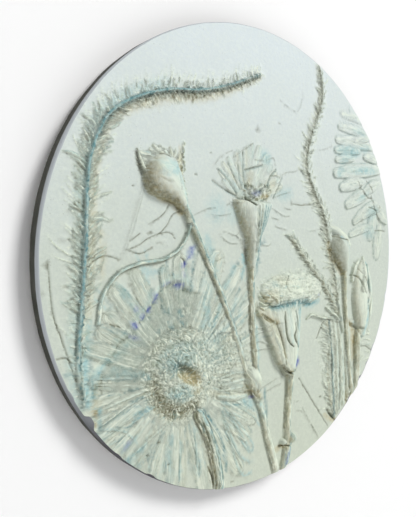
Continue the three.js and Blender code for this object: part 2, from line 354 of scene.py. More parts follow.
@dataclass
class Clay(Layer):
    """The pressed clay: the relief, its washes, how rough it is and which way its fibres run."""

    fade: float = 0.9
    washes: dict[Wash, np.ndarray] = field(init=False, repr=False)
    rough: np.ndarray = field(init=False, repr=False)
    across: np.ndarray = field(init=False, repr=False)
    along: np.ndarray = field(init=False, repr=False)

    def __post_init__(self) -> None:
        """Lays out an empty relief, empty washes and fibres that run straight across."""
        super().__post_init__()
        self.washes = {wash: np.zeros_like(self.rise) for wash in Wash}
        self.rough = np.zeros_like(self.rise)
        self.across = np.repeat(self.axis[:, None], len(self.axis), 1).copy()
        self.along = np.repeat(0.4 * self.axis[None, :], len(self.axis), 0).copy()

    def at(self, x: float, z: float) -> float:
        """Reads the rise at one place."""
        return float(self.rise[round((z + self.half) / self.pitch), round((x + self.half) / self.pitch)])

    def lay(self, route: Flat, widths: Values, rises: Values, form: Form = Form(), seed: int = 0,
            sit: float = 0.0) -> "Strip":
        """Lays a strip along a route, where it stands higher than what is there.

        Each place takes the nearest point of the route: its signed distance over the half width
        is u, and how far along the route it lies picks the half width and the rise.

        Args:
            route: The bends of the route, from root to tip.
            widths: Half widths along it.
            rises: Rises along it.
            form: Its cross-section.
            seed: Picks its roughness.
            sit: Share of what is there that it lies on top of.

        Returns:
            The strip, to be tinted.
        """
        path = spline(route, 0.8)
        share = np.linspace(0.0, 1.0, len(path))
        wide = spread(widths, share)
        reach = wide.max() + 0.6
        rows, columns, x, z = self.window(path.min(0) - reach, path.max(0) + reach)
        best = np.full((z.shape[0], x.shape[1]), 1e9, np.float32)
        across, place, beyond = np.zeros_like(best), np.zeros_like(best), np.zeros_like(best)
        for i in range(len(path) - 1):
            a, d = path[i], path[i + 1] - path[i]
            near = max(wide[i:i + 2]) + 0.3
            r, c, px, pz = self.window(np.minimum(a, a + d) - near, np.maximum(a, a + d) + near)
            spot = (slice(r.start - rows.start, r.stop - rows.start),
                    slice(c.start - columns.start, c.stop - columns.start))
            free = ((px - a[0]) * d[0] + (pz - a[1]) * d[1]) / max(d @ d, 1e-9)
            t = clamp(free)
            ox, oz = px - a[0] - t * d[0], pz - a[1] - t * d[1]
            off = ox * ox + oz * oz
            closer = off < best[spot]
            best[spot] = np.where(closer, off, best[spot])
            across[spot] = np.where(closer, np.sign(d[0] * oz - d[1] * ox) * np.sqrt(off), across[spot])
            place[spot] = np.where(closer, (i + t) / (len(path) - 1), place[spot])
            beyond[spot] = np.where(closer, np.maximum(0.0, free - 1.0) * 0.8, beyond[spot])
        u = np.where(best < 1e8, across / np.interp(place, share, wide), 9.0)
        along = place * 0.8 * (len(path) - 1)
        edge = np.maximum(0.0, 1.0 - np.abs(u) ** form.square) ** form.round_
        if form.blunt:
            edge = edge * np.sqrt(clamp(1.0 - (beyond / form.blunt) ** 2)) * (beyond < form.blunt)
        there = self.rise[rows, columns]
        fibres = form.fibre * cloud(across + 31.0 * seed, along * form.run, form.fibre_size, 900 + seed)
        ribs = form.rib_rise * np.cos(math.pi * form.ribs * u)
        value = (np.interp(place, share, spread(rises, share)) + sit * there) * edge * (1 + form.tilt * u)
        value = value + (fibres + ribs) * np.sqrt(edge)
        top = (value > there) & (np.abs(u) < 1) & (edge > 0.02)
        self.rise[rows, columns] = np.where(top, value, there)
        self.rough[rows, columns] = np.where(top, form.rough, self.rough[rows, columns])
        self.across[rows, columns] = np.where(top, form.weave * across + 31.0 * seed,
            self.across[rows, columns])
        self.along[rows, columns] = np.where(top, along * form.run, self.along[rows, columns])
        for wash in Wash:
            self.washes[wash][rows, columns] *= 1 - 0.85 * top
        return Strip(self, (rows, columns), u, place, along, top, seed)

    def fur(self, layer: Layer) -> None:
        """Lays a layer of hairs on top of what is here, and roughens it there."""
        self.rise += layer.rise
        self.rough = np.maximum(self.rough, clamp(layer.rise * 1.5))

    def dab(self, *patches: Row) -> None:
        """Leaves oval patches that fade to their edges, each a wash, an oval and an amount."""
        for wash, oval, amount in patches:
            self.mound(oval, amount, self.fade, self.washes[wash])

    def brush(self, *streaks: Row) -> None:
        """Leaves streaks of colour, each a wash, a route, and half widths and amounts along it."""
        for wash, route, widths, amounts in streaks:
            self.ridge(route, widths, amounts, self.fade, self.washes[wash])

    def cut(self, route: Flat, widths: Values, depths: Values, tint: float = 0.0) -> None:
        """Cuts a groove along a route, and darkens it with umber that is partly painted shade.

        Args:
            route: The bends of the groove.
            widths: Half widths along it.
            depths: Depths along it.
            tint: How strong the umber in it is.
        """
        groove = Layer(self.half, self.pitch)
        groove.ridge(route, widths, depths, 1.0)
        self.rise -= groove.rise
        # The umber in the groove is partly painted shade.
        if tint:
            self.brush((UMBER_AND_SHADE, route, np.asarray(widths) * 1.15, tint))

    def thread(self, route: Flat, width: float, rise: float, shade: float = 0.0, wash: Wash = UMBER_AND_SHADE) -> None:
        """Lays a thin thread on what is here, tapering to both ends, with a painted shadow line under it.

        Args:
            route: The bends of the thread.
            width: Its half width.
            rise: Its rise.
            shade: How strong the painted shadow line under it is.
            wash: The colour of that line.
        """
        over = Layer(self.half, self.pitch)
        over.ridge(route, (width * 0.6, width, width, width * 0.5), (rise * 0.5, rise, rise, rise * 0.4))
        self.rise += over.rise
        if shade:
            # The line is painted shadow, set down and to the left of the thread.
            under = np.asarray(route, float).copy()
            under[1::2] -= width * 1.3
            under[0::2] -= width * 0.5
            self.brush((wash, under, width * 0.9, shade))

    def comb(self, route: Flat, fringe: Fringe, rng: np.random.Generator, layer: Layer) -> None:
        """Sets hairs along one side of a stalk, each a curved ridge that thins to its tip.

        Args:
            route: The stalk's route.
            fringe: How the hairs are set.
            rng: Source of the unevenness.
            layer: The layer the hairs go in.
        """
        path = spline(route, 0.5)
        headings = np.unwrap(np.arctan2(*np.gradient(path, axis=0).T[::-1]))
        part = fringe.stop - fringe.start
        count = max(1, int(0.5 * (len(path) - 1) * part / fringe.spacing))
        for i, wobble in enumerate(rng.normal(0.0, 1.0, (count, 6))):
            share = float(np.clip(fringe.start + part * (i + 0.5 + 0.35 * wobble[0]) / count, 0.0, 1.0))
            spot = int(share * (len(path) - 1))
            heading = headings[spot]
            long = float(spread(fringe.lengths, share)) * max(0.3, 1 + fringe.scatter * wobble[1])
            lean = math.radians(float(spread(fringe.leans, share)) * (1 + 0.2 * wobble[2]))
            root = path[spot] + fringe.side * fringe.root * np.array([-math.sin(heading), math.cos(heading)])
            layer.hair(root, heading + fringe.side * lean, long,
                fringe.side * math.radians(fringe.curl) * (1 + 0.5 * wobble[3]),
                fringe.width * (1 + 0.15 * wobble[4]), fringe.rise * max(0.3, 1 + 0.25 * wobble[5]))


    def sprigs(self, route: Flat, sprig: Sprig, rng: np.random.Generator) -> None:
        """Sets lumpy leaflets along one side of a stalk, each a short curved strip.

        Args:
            route: The stalk's route.
            sprig: How the leaflets are set.
            rng: Source of the unevenness.
        """
        path = spline(route, 0.5)
        count = int(0.5 * len(path) * (sprig.stop - sprig.start) / sprig.gap)
        for i, w in enumerate(rng.normal(0.0, 1.0, (count, 6))):
            share = float(np.clip(sprig.start + (sprig.stop - sprig.start) * (i + 0.5 + 0.4 * w[0]) / count,
                0.0, 1.0))
            spot = min(int(share * (len(path) - 1)), len(path) - 4)
            x, z = path[spot]
            ahead = math.atan2(*(path[spot + 3] - path[spot])[::-1])
            reach = 0.5 * float(spread(sprig.lengths, share)) * max(0.5, 1 + 0.22 * w[1])
            way = ahead + sprig.side * math.radians(sprig.lean + 9 * w[2])
            tip = way - sprig.side * math.radians(24 * w[3])
            middle = x + reach * math.cos(way), z + reach * math.sin(way)
            wide, high = sprig.width * (1 + 0.16 * w[4]), sprig.rise * (1 + 0.15 * w[5])
            leaf = self.lay(
                (x, z, *middle, middle[0] + reach * math.cos(tip), middle[1] + reach * math.sin(tip)),
                (0.7 * wide, wide, wide * 1.1, 0.5 * wide), (high * 0.9, high, high * 0.9, high * 0.5),
                LEAFLET, i)
            # The umber along the lower edge of each leaflet is painted shade.
            leaf.tint((PALE_AND_HIGHLIGHT, 0, 0.7, 1.0, -1, 2, 0.2),
                (BLUE, rng.uniform(-0.5, 0.5), 0.4, sprig.blue * rng.uniform(0.2, 1.0)),
                (UMBER_AND_SHADE, 0.92 * sprig.side, 0.14, 0.9 * sprig.shade),
                (OCHRE_AND_SHADE, rng.uniform(-0.9, 0.9), 0.3, sprig.ochre))


@dataclass
class Strip:
    """A strip lying on the clay, in its own coordinates."""

    clay: Clay
    spot: tuple[slice, slice]
    u: np.ndarray
    share: np.ndarray
    along: np.ndarray
    top: np.ndarray
    seed: int
    whole: tuple[float, float, float] = (-1.0, 2.0, 0.4)
    ease: float = 0.06

    def tint(self, *streaks: Row) -> "Strip":
        """Leaves streaks of colour along the strip.

        Each has a wash, a centre from -1 at the strip's right to 1 at its left, how far it spreads
        as a share of the half width, and an amount. It may go on with where along the strip it
        starts, from 0 to 1, where it stops, and how much it comes and goes.

        Args:
            streaks: The streaks, in order.

        Returns:
            The strip itself.
        """
        # On the plants, ochre and umber streaks near the left edge are painted shade on the flank away from
        # the light, and pale streaks near the right edge are partly painted highlight.
        for given in streaks:
            wash, centre, width, amount, start, stop, patchy = (*given, *self.whole[len(given) - 4:])
            streak = amount * np.exp(-((self.u - centre) / width) ** 2) * self.top
            streak *= smooth((self.share - start) / self.ease) * smooth((stop - self.share) / self.ease)
            streak *= 1 - patchy * (0.5 + 0.5 * cloud(self.along, self.u * 1.5 + self.seed * 7, 3.0,
                60 + list(Wash).index(wash)))
            mask = self.clay.washes[wash]
            mask[self.spot] = np.maximum(mask[self.spot], streak)
        return self


# ---------------------------------------------------------------- the plants

STALK = Form(square=2.2, round_=0.6, ribs=2.6, rib_rise=0.12, fibre=0.26, fibre_size=0.6, rough=0.8)
BLADE = Form(square=4.0, round_=0.35, tilt=0.25, ribs=2.2, rib_rise=0.10, fibre=0.2, fibre_size=0.7,
    rough=0.6)
LEAFLET = Form(square=2.0, round_=0.7, fibre=0.45, fibre_size=1.0, rough=0.66, run=0.36, weave=1.8)
THREAD = Form(square=2.0, round_=0.7, fibre=0.12)


@dataclass
class Bottlebrush:
    """The tall spike at the left that bends over to the right, thick with fine leaflets."""

    route: Flat = (-104, -63, -106, -40, -103, 0, -101, 40, -97, 56, -90, 68, -76, 77, -58, 83, -36, 86, -18,
        91, 4, 100)
    bend: float = 0.56
    foot: float = 0.17
    seed: int = 11

    def press(self, clay: Clay) -> None:
        """Presses the spike into the clay: a soft bed, its leaflets, its hairs, then its stalk.

        Args:
            clay: The clay to press it into.
        """
        rng = np.random.default_rng(self.seed)
        clay.ridge(self.route, (3, 5, 6.5, 7, 7, 7, 6.5, 6.5, 6, 5, 2.5), (0.3, 0.5, 0.6, 0.6, 0.5, 0.4, 0.4),
            1.5)
        part = self.foot, self.bend
        for sprig in (Sprig(1, 2.5, (7, 9.5, 9.5, 10), 46, 1, 0.8, *part, 0.9, 0.5, 0.05),
                Sprig(-1, 2.3, (8, 12, 12, 10), 46, 1, 0.9, *part, 0.9, 0.6, 0.15),
                Sprig(1, 2.5, (4, 5, 5), 40, 1.2, 0.9, *part, 0.9, 0.5, 0.05),
                Sprig(-1, 2.3, (5, 6, 6), 40, 1.2, 1.1, *part, 0.9, 0.5, 0.2),
                Sprig(1, 2.4, (8, 7, 6, 4), 60, 0.6, 0.5, self.bend - 0.02, 0.98, 0.6, 0.2, 0.1),
                Sprig(-1, 1.6, (8, 7.5, 6, 4), 40, 0.7, 0.9, self.bend - 0.02, 0.98, 0.4, 0.5, 0.5)):
            clay.sprigs(self.route, sprig, rng)
        fur = Layer(clay.half, clay.pitch)
        upper = (9, 11, 11, 10, 9, 8, 5)
        for fringe in (Fringe(1, 1, upper, (52, 58, 62, 60, 56), -30, 0.5, 0.45, 0.3, 0.8, 0.5, 1),
                Fringe(1, 2.6, upper, (40, 48, 52, 50), 30, 0.5, 0.6, 0.25, 0.8, 0.48, 1),
                Fringe(-1, 1.4, (10, 11, 11, 9.5, 8, 5), (40, 30, 34, 36, 30), 60, 0.5, 0.8, 0.3, 0.6, 0.5,
                    1),
                Fringe(-1, 1.8, (7, 7, 7, 6, 5, 4), (66, 62, 60, 56), -50, 0.42, 0.65, 0.35, 0.6, 0.5, 1),
                Fringe(1, 2.8, (9, 11, 11, 11), (44, 50, 52), -16, 0.45, 0.45, 0.35, 0.8, 0.12, 0.54),
                Fringe(-1, 2.6, (9, 12, 12, 10), (44, 50, 50), 10, 0.45, 0.5, 0.35, 0.8, 0.12, 0.54),
                Fringe(1, 9, (15, 15, 14, 13), (48, 50, 50), -18, 0.42, 0.7, 0.2, 1, 0.2, 0.56),
                Fringe(-1, 2, (5, 6, 6), (80, 84, 80), 20, 0.42, 0.8, 0.4, 0.4, 0, 0.3),
                Fringe(1, 2, (4, 5, 6), (80, 84, 80), 20, 0.42, 0.7, 0.4, 0.4, 0, 0.3)):
            clay.comb(self.route, fringe, rng, fur)
        clay.fur(fur)
        stalk = clay.lay(self.route, (2, 1.6, 1.3, 1.2, 1.2, 1, 0.8, 0.8, 0.5),
            (1.6, 2, 2.3, 2.4, 2.2, 2, 1.5), Form(2, 0.6, 0, 0, 0, 0.8, 1.2, 0.4), self.seed)
        stalk.tint((BLUE, 0, 1.2, 1, 0.03, 0.97, 0.1), (TEAL, 0.4, 0.5, 0.9, 0.1, 1, 0.5),
            (TEAL, -0.5, 0.3, 0.9, 0.1, 0.8, 1))
        for x, z in spline(self.route, 1.4):
            spot = (x + rng.normal(0, 0.5), z + rng.normal(0, 0.5), rng.uniform(0.7, 1.7), 0.8,
                rng.uniform(40, 140))
            clay.mound(spot, clay.at(x, z) + rng.uniform(-0.2, 0.5), 0.5)
            clay.dab((TEAL if rng.uniform() < 0.6 else PALE_AND_HIGHLIGHT, spot, rng.uniform(0.8, 1.4)))
        self.colour(clay)

    def colour(self, clay: Clay) -> None:
        """Washes the spike: ochre under it, and umber along the stalk's shaded sides as painted shade.

        Args:
            clay: The clay it was pressed into.
        """
        top, up = self.route[8:], self.route[2:10]
        # Umber beside the stalk, below its top and left of its upright part, is painted shade.
        clay.brush((OCHRE_AND_SHADE, beside(top, (-3, -4, -3.6, -2)), (3, 4, 3.6, 2), (0.35, 0.5, 0.5, 0.35)),
            (UMBER_AND_SHADE, beside(top, -1.6), (0.7, 0.9, 0.7), (0.2, 0.7, 0.6)),
            (TEAL, beside(top, -1.3), 0.6, (0.5, 0.7, 0.5)), (OCHRE_AND_SHADE, beside(up, -3.4), 3.2, (0.3, 0.45, 0.5)),
            (OCHRE_AND_SHADE, beside(up, 3.4), 3, (0.12, 0.2, 0.25)), (UMBER_AND_SHADE, beside(up, 1.6), 0.6, (0.5, 0.4, 0.3)),
            (TEAL, beside(up, 1.6), 0.8, (0.5, 0.6, 0.4)), (BLUE, beside(self.route[:16], 1.5), 5.4, 0.4))
        low = (-104.4, -64, -105.6, -44, -105, -26)
        # The umber line down the lower stalk's left side is painted shade.
        clay.brush((UMBER_AND_SHADE, low, (1, 0.9, 0.8), (0.75, 0.7, 0.5)),
            (TEAL, (-99, -62, -99.6, -44, -97.4, -28), 1, (0.8, 0.6, 0.4)),
            (BLUE, (-101.4, -64, -102.6, -44, -100.6, -26), 2.6, (0.8, 0.8, 0.6)),
            (OCHRE_AND_SHADE, (-97.4, -72, -97.6, -62, -97.2, -54), 0.9, (0.9, 1, 0.6)))


@dataclass
class RoundBud:
    """The plump bud on its long bare stalk, with its thin curling tendril."""

    stalk: Flat = (17.5, -122, 10, -100, 5, -83, -3, -68, -14, -40, -28, -10, -38, 9, -44, 20, -48.4, 28)
    tendril: Flat = (-96, -27, -94, -15, -86, -5, -74, -0.5, -61, 1, -51, 6, -45.6, 14, -44, 21)
    bracts: int = 11
    seed: int = 21

    def press(self, clay: Clay) -> None:
        """Presses the tendril, the stalk and the bud into the clay.

        Args:
            clay: The clay to press it into.
        """
        rng = np.random.default_rng(self.seed)
        tendril = clay.lay(self.tendril, (1.5, 1.1, 1, 1, 1, 1.2), (1.6, 2.1, 2.2, 2.2, 2.4, 3),
            THREAD, self.seed)
        tendril.tint((BLUE, -0.1, 0.8, 0.75), (TEAL, 0.5, 0.4, 0.45), (PALE_AND_HIGHLIGHT, -0.5, 0.3, 0.7))
        clay.brush((UMBER_AND_SHADE, beside(self.tendril, -1.5), 0.7, (0.3, 0.7, 0.8, 0.7)))
        stalk = clay.lay(self.stalk, (3, 2.6, 2.3, 2.1, 2, 2, 2, 2.1, 2.4),
            (2.2, 2.3, 2, 1.5, 2.2, 2.5, 2.8, 3.8), STALK, self.seed)
        # Umber and ochre on the stalk's left flank are painted shade; the pale on its right is partly painted
        # highlight.
        stalk.tint((UMBER_AND_SHADE, 0.72, 0.24, 0.9, 0.55), (UMBER_AND_SHADE, 0.72, 0.24, 0.8, -1, 0.28),
            (OCHRE_AND_SHADE, 0.45, 0.35, 0.6), (BLUE, -0.25, 0.4, 0.8, 0.42), (TEAL, -0.1, 0.16, 1, 0.45, 1, 0.7),
            (PALE_AND_HIGHLIGHT, -0.45, 0.2, 0.9), (TEAL, -0.8, 0.12, 0.8, 0.5))
        clay.mound((-0.6, -67, 8.4, 5.6, -62), 4.4, 0.5)
        clay.dab((PALE_AND_HIGHLIGHT, (0.6, -65.6, 7, 5, -60), 1))
        # The umber and ochre under the knot are painted shade.
        clay.brush((UMBER_AND_SHADE, (-7, -72, -2, -75, 4, -77.4), (1.2, 2.2, 1.6), (0.9, 1.1, 1)),
            (OCHRE_AND_SHADE, (-7, -70, -3, -73.6, 3, -77), (2, 3, 2), 0.8))
        for i in range(self.bracts):
            turn = math.radians(38 + 11.5 * i)
            long = rng.uniform(7, 10.5)
            x, z = -60.5 + 6.4 * math.cos(turn), 43.5 + 5.0 * math.sin(turn)
            petal = clay.lay((x, z, x + 0.5 * long * math.cos(turn), z + 0.4 * long * math.sin(turn),
                    x + long * math.cos(turn + 0.3), z + 0.75 * long * math.sin(turn + 0.3)),
                (2.2, 2.6, 2.2, 1.2), (4.6, 2.4, 1.2, 0.5), Form(4, 0.4, 0.3, 2, 0.15, 0.4, 1, 0.8), i)
            petal.tint((OCHRE_AND_SHADE, 0.6, 0.4, 0.35), (PALE_AND_HIGHLIGHT, -0.2, 0.9, 0.8), (TEAL, -0.9, 0.15, 0.3, -1, 2, 1))
        cup = clay.lay((-47.6, 26, -50.6, 31, -55, 36, -60.5, 41), (2.4, 4.8, 8.8, 11.6),
            (3.4, 5.2, 6.6, 7.2), Form(2.1, 0.55, 0, 6, 0.05, 0.10, 0.8, 0.15), self.seed + 1)
        # Ochre and umber on the cup's left flank are partly painted shade; the pale on it is partly painted
        # highlight.
        cup.tint((OCHRE_AND_SHADE, 0.7, 0.5, 0.8, -1, 2, 0.1), (UMBER_AND_SHADE, 0.95, 0.35, 0.9, -1, 2, 0.1),
            (PALE_AND_HIGHLIGHT, -0.25, 0.5, 0.85), (BLUE, -0.55, 0.3, 0.5))
        clay.cut((-64.5, 40, -61, 38.4, -57, 38.6), 0.4, (0.2, 0.4, 0.2), 0.12)
        clay.thread((-65.5, 41, -61, 39.4, -57, 39.6), 0.5, 0.5)
        clay.cut((-54.6, 47, -53.6, 41, -52.4, 35), 0.4, 0.3, 0.3)
        clay.thread((-66, 50.6, -62.5, 52.4, -58.5, 51.6, -55.6, 49), 0.55, 0.8)
        clay.brush((UMBER_AND_SHADE, (-66, 50, -62.5, 51.8, -58.5, 51, -55.4, 48.4), 0.5, (0.3, 0.5, 0.9, 0.6)))
        # The ochre dab at the bud's left side is painted shade; the pale dab over its middle is partly
        # painted highlight.
        clay.dab((OCHRE_AND_SHADE, (-68, 46, 4, 2, 30), 0.8), (OCHRE_AND_SHADE, (-50.6, 49, 2.4, 3, 0), 0.9),
            (OCHRE_AND_SHADE, (-64, 50, 5, 1.6, 20), 0.6), (PALE_AND_HIGHLIGHT, (-61, 46.5, 8, 4, 0), 0.9),
            (BLUE, (-55.5, 45, 5, 5, 0), 0.7), (BLUE, (-62, 43, 6, 3, 0), 0.4))
        fin = clay.lay((-66, 36.6, -70, 41, -72.8, 46.6, -74.8, 53.4), (1.6, 1.6, 1.3, 0.5),
            (4, 2.8, 2.2, 1), Form(2, 0.7, -0.3, fibre=0.2), 7)
        fin.tint((PALE_AND_HIGHLIGHT, -0.4, 0.5, 0.9))
        # Umber and ochre round the bud's lower left outline are partly painted shade.
        clay.brush((UMBER_AND_SHADE, (-75.6, 52, -73.8, 46, -71, 41, -67.4, 36.4, -60, 31.6, -54, 29.2, -49.8, 25),
                (0.6, 1.2, 1.8, 2.4, 1.8), (0.9, 1, 1, 1)),
            (OCHRE_AND_SHADE, (-68, 36, -61, 31, -54, 28.6, -49.6, 24), (1.4, 2.4, 2.2), 0.8))
        specks = Layer(clay.half, clay.pitch)
        for z1 in np.arange(33, 58, 1.3):
            specks.hair((-48.2 + 0.03 * (z1 - 33) + rng.normal(0, 0.8), z1), rng.uniform(0.6, 2.6),
                rng.uniform(1.2, 2.6), 0.3, 0.55, rng.uniform(0.8, 1.6))
            clay.dab((UMBER_AND_SHADE, (-48.6 + rng.normal(0, 0.8), z1, 0.8, 0.6, 60), rng.uniform(0.3, 0.9)))
        clay.fur(specks)
        clay.brush((OCHRE_AND_SHADE, (-49.4, 36, -49, 46, -49.6, 56), 1.4, (0.3, 0.6, 0.5)),
            (TEAL, (-47.6, 31, -44.4, 25, -42.6, 20), (0.9, 1.3), (0.6, 1)))


@dataclass
class FanFlower:
    """The open flower in the middle: a ribbed calyx with a fan of thin petals above it."""

    stalk: Flat = (3, -73, 1, -55, -1, -40, -2.4, -12, -2.2, 0)
    calyx: Flat = (-2.4, -6, -1.8, 2, -1.4, 8, -1.2, 18, -0.8, 29)
    throat: tuple[float, float] = (-4, 31)
    # Wisps: route, rise.
    wisps: tuple[Row, ...] = (((-17, 30.6, -12, 30.2, -8.4, 32), 0.9), ((0, 30.8, 6, 31.4, 13, 31), 0.8),
        ((-9, 33, -4, 33.6, 2, 32.4), 0.9), ((-12, 12, -8, 10.6, -2, 9.6, 4, 7.6), 0.5),
        ((-5, 27, -4, 20, 0, 14), 0.4))
    # Patches: wash, oval, amount.
    patches: tuple[Row, ...] = ((ULTRAMARINE, (0, 35, 5, 2.2, 8), 0.5), (TEAL, (2, 36.4, 4, 1.6, 20), 0.5),
        (OCHRE_AND_SHADE, (7.6, 33.6, 5, 2.2, 0), 0.9), (OCHRE_AND_SHADE, (-4, 43, 6, 3, 70), 0.6),
        (OCHRE_AND_SHADE, (14, 41, 4, 3, 40), 0.6), (BLUE, (9, 55, 7, 5, -50), 0.55), (BLUE, (25, 36, 9, 5, 10), 0.4),
        (BLUE, (-26, 26, 8, 10, 0), 0.35), (BLUE, (-14, 24, 7, 7, 0), 0.3))
    # Folds: route, half widths, depth, tint.
    folds: tuple[Row, ...] = (((-7, 47.6, 0, 49.4, 6, 51), 0.55, (0.8, 1.1, 0.5), 0.9),
        ((9, 39, 12, 45, 17, 49.4), 0.5, (0.9, 0.8), 0.7), ((15, 33, 18, 39, 22, 45), 0.5, (0.8, 0.5), 0.6),
        ((-29, 41, -20, 36.4, -13, 33.6), 0.5, (0.4, 0.7, 0.9), 0.9),
        ((-13, 34.6, -19, 41.4, -26, 47), 0.4, (0.8, 0.5), 0.6),
        ((-11, 37, -15, 43.6, -19, 50.6), 0.4, 0.6, 0.6), ((-10, 37, -11.6, 46, -12, 54), 0.35, 0.5, 0.5),
        ((-7.6, 38, -8.6, 47, -8, 57), 0.4, 0.6, 0.6))
    loose: tuple[Flat, ...] = ((-28, 48.6, -23, 54, -15, 58), (-15, 54, -8, 58.6, 0, 63),
        (0, 54, 4, 54, 9, 53.6), (12, 46, 17, 46, 20, 45.4), (19, 45, 25, 48.4, 33, 49.6, 37, 52.6),
        (16, 34, 22, 36, 29, 37.6), (-20.5, 15, -15, 13.2, -12.6, 12.8, -10, 15), (-12.6, 12.8, -10.5, 11),
        (-23, 12.5, -17, 8.8, -8, 8.6), (-41, 23.2, -35, 25.6, -31, 27, -26, 27.2),
        (-30, 23.6, -24, 23.2, -16, 24.4), (14, 28, 20, 25.2, 24, 23.6, 30, 23.8),
        (24, 28.4, 27, 27.6, 30, 27.8), (14, 22.6, 20, 21.4), (16.5, 18.2, 20, 17, 26, 16),
        (7, 7.4, 11, 7, 14, 8.4), (-15, 29, -17.6, 29.6, -19, 28.8), (-27, -0.4, -23, 1, -21, 2.4),
        (9, 54, 15, 56, 17, 52))
    crumbs: int = 90
    seed: int = 31

    def press(self, clay: Clay) -> None:
        """Presses the petals, the stalk and the calyx into the clay.

        Args:
            clay: The clay to press it into.
        """
        rng = np.random.default_rng(self.seed)
        self.petals(clay, rng)
        stalk = clay.lay(self.stalk, (2.2, 2.1, 2.2, 2.4), (2.2, 2.2, 2.5, 3.4), STALK, self.seed)
        # Umber and ochre on the stalk's left flank are painted shade.
        stalk.tint((UMBER_AND_SHADE, 0.7, 0.3, 0.8), (OCHRE_AND_SHADE, 0.4, 0.5, 0.8), (TEAL, -0.35, 0.16, 0.9),
            (BLUE, -0.7, 0.3, 0.8))
        calyx = clay.lay(self.calyx, (2.2, 4.2, 5.6, 10.4, 14.6), (3, 4.4, 5.2, 5.8, 5),
                         Form(2.2, 0.6, 0.12, 5, 0.16, 0.16, 1.2, 0.25, 2.2), self.seed + 1)
        # Ochre and umber on the calyx's left half are painted shade; the pale on its right is partly painted
        # highlight.
        calyx.tint((OCHRE_AND_SHADE, 0.8, 0.4, 0.5), (UMBER_AND_SHADE, 0.7, 0.3, 0.5, 0.1, 0.95), (UMBER_AND_SHADE, 0.93, 0.14, 0.8))
        for centre in (-0.02, -0.16, -0.34, -0.52, -0.75):
            calyx.tint((TEAL, centre, 0.035, 0.8, 0.15, 0.95, 0.6),
                (PALE_AND_HIGHLIGHT, centre + 0.08, 0.05, 0.9, 0.1, 1, 0.3))
        calyx.tint((PALE_AND_HIGHLIGHT, -0.4, 0.4, 0.6), (BLUE, -0.6, 0.3, 0.3))
        clay.cut((-8, 33, -6, 31.2, -2, 28.8), (0.5, 0.9, 0.6), (1.4, 2.6, 1.6), 0.9)
        clay.cut((-1, 30, -2, 20, 1, 8), 0.5, (0.3, 0.6, 0.4), 0.2)
        for route, high in self.wisps:
            clay.thread(route, 0.6, high, 0.3)
        # In the strokes below, the umber at the calyx's left foot is painted shade.
        clay.brush((TEAL, (0, 9, 4, 7.4, 8, 8.2), (1, 1.3, 0.8), (0.6, 1, 0.6)),
            (TEAL, (2, -10, 3.4, 0, 4.4, 7), (0.8, 1.1, 1.2), (0.6, 0.9, 0.9)),
            (UMBER_AND_SHADE, (-5.6, -3, -6.6, 4, -9.6, 10), (1.2, 1.6, 1), (0.7, 0.8, 0.5)))
        # The lines under these rib threads are painted shadow.
        for top, foot in ((0.6, -1.8), (3.4, -0.8), (6, 0.2), (8.8, 1), (11.4, 1.8)):
            clay.thread((top, 29.5, 0.5 * (top + foot) - 0.4, 18, foot, 4), 0.55, 0.6, 0.9,
                TEAL if top > 4 else UMBER_AND_SHADE)
        bits = Layer(clay.half, clay.pitch)
        for _ in range(self.crumbs):
            bits.hair((rng.uniform(-10, 12), rng.uniform(31.5, 40)), rng.uniform(0.7, 2.5),
                rng.uniform(0.8, 2.6), rng.normal(0, 0.8), rng.uniform(0.4, 0.7), rng.uniform(0.6, 1.5))
        clay.fur(bits)
        clay.dab(*self.patches)
        self.threads(clay)

    def petals(self, clay: Clay, rng: np.random.Generator) -> None:
        """Fans the petals out from the throat, flat and thin, each overlapping the next.

        Args:
            clay: The clay to press it into.
            rng: Source of the unevenness.
        """
        x0, z0 = self.throat
        for i, degrees in enumerate((20, 30, 150, 40, 142, 50, 132, 60, 122, 112, 72, 104, 96, 84, 90)):
            turn = math.radians(degrees + rng.normal(0, 1.5))
            long = float(np.interp(degrees, (15, 30, 48, 62, 78, 100, 120, 140, 152),
                (27, 27, 26, 29, 32, 28, 27, 27, 20)))
            wide = float(np.interp(degrees, (20, 60, 90, 150), (3.6, 4.4, 2.6, 2.4)))
            c, s = math.cos(turn), math.sin(turn)
            petal = clay.lay((x0, z0, x0 + 0.5 * long * math.cos(turn + 0.04),
                    z0 + 0.5 * long * math.sin(turn + 0.04), x0 + (long - 1.2) * c, z0 + (long - 1.2) * s),
                (1.6, wide * 0.8, wide, wide * 0.9, wide * 0.6), (2.4, 1.5, 1, 0.8, 0.7),
                Form(6, 0.3, 0.3 if degrees < 90 else -0.3, 2, 0.08, 0.1, 0.6, 0.4), i)
            petal.tint((UMBER_AND_SHADE, 0.93, 0.1, 0.3, -1, 2, 0.8), (TEAL, -0.93, 0.1, 0.5), (PALE_AND_HIGHLIGHT, 0, 0.5, 0.7),
                (OCHRE_AND_SHADE if i % 3 == 0 else BLUE, -0.3, 0.5, 0.35))

    def threads(self, clay: Clay) -> None:
        """Lays the loose hairs and the folded edges round the flower.

        Args:
            clay: The clay to press it into.
        """
        for route, wide, depth, tint in self.folds:
            clay.cut(route, wide, depth, 0.6 * tint)
            clay.brush((TEAL, beside(route, -0.5), 0.5, 0.5 * tint))
        for route in self.loose:
            clay.thread(route, 0.4, 0.6, 0.5)


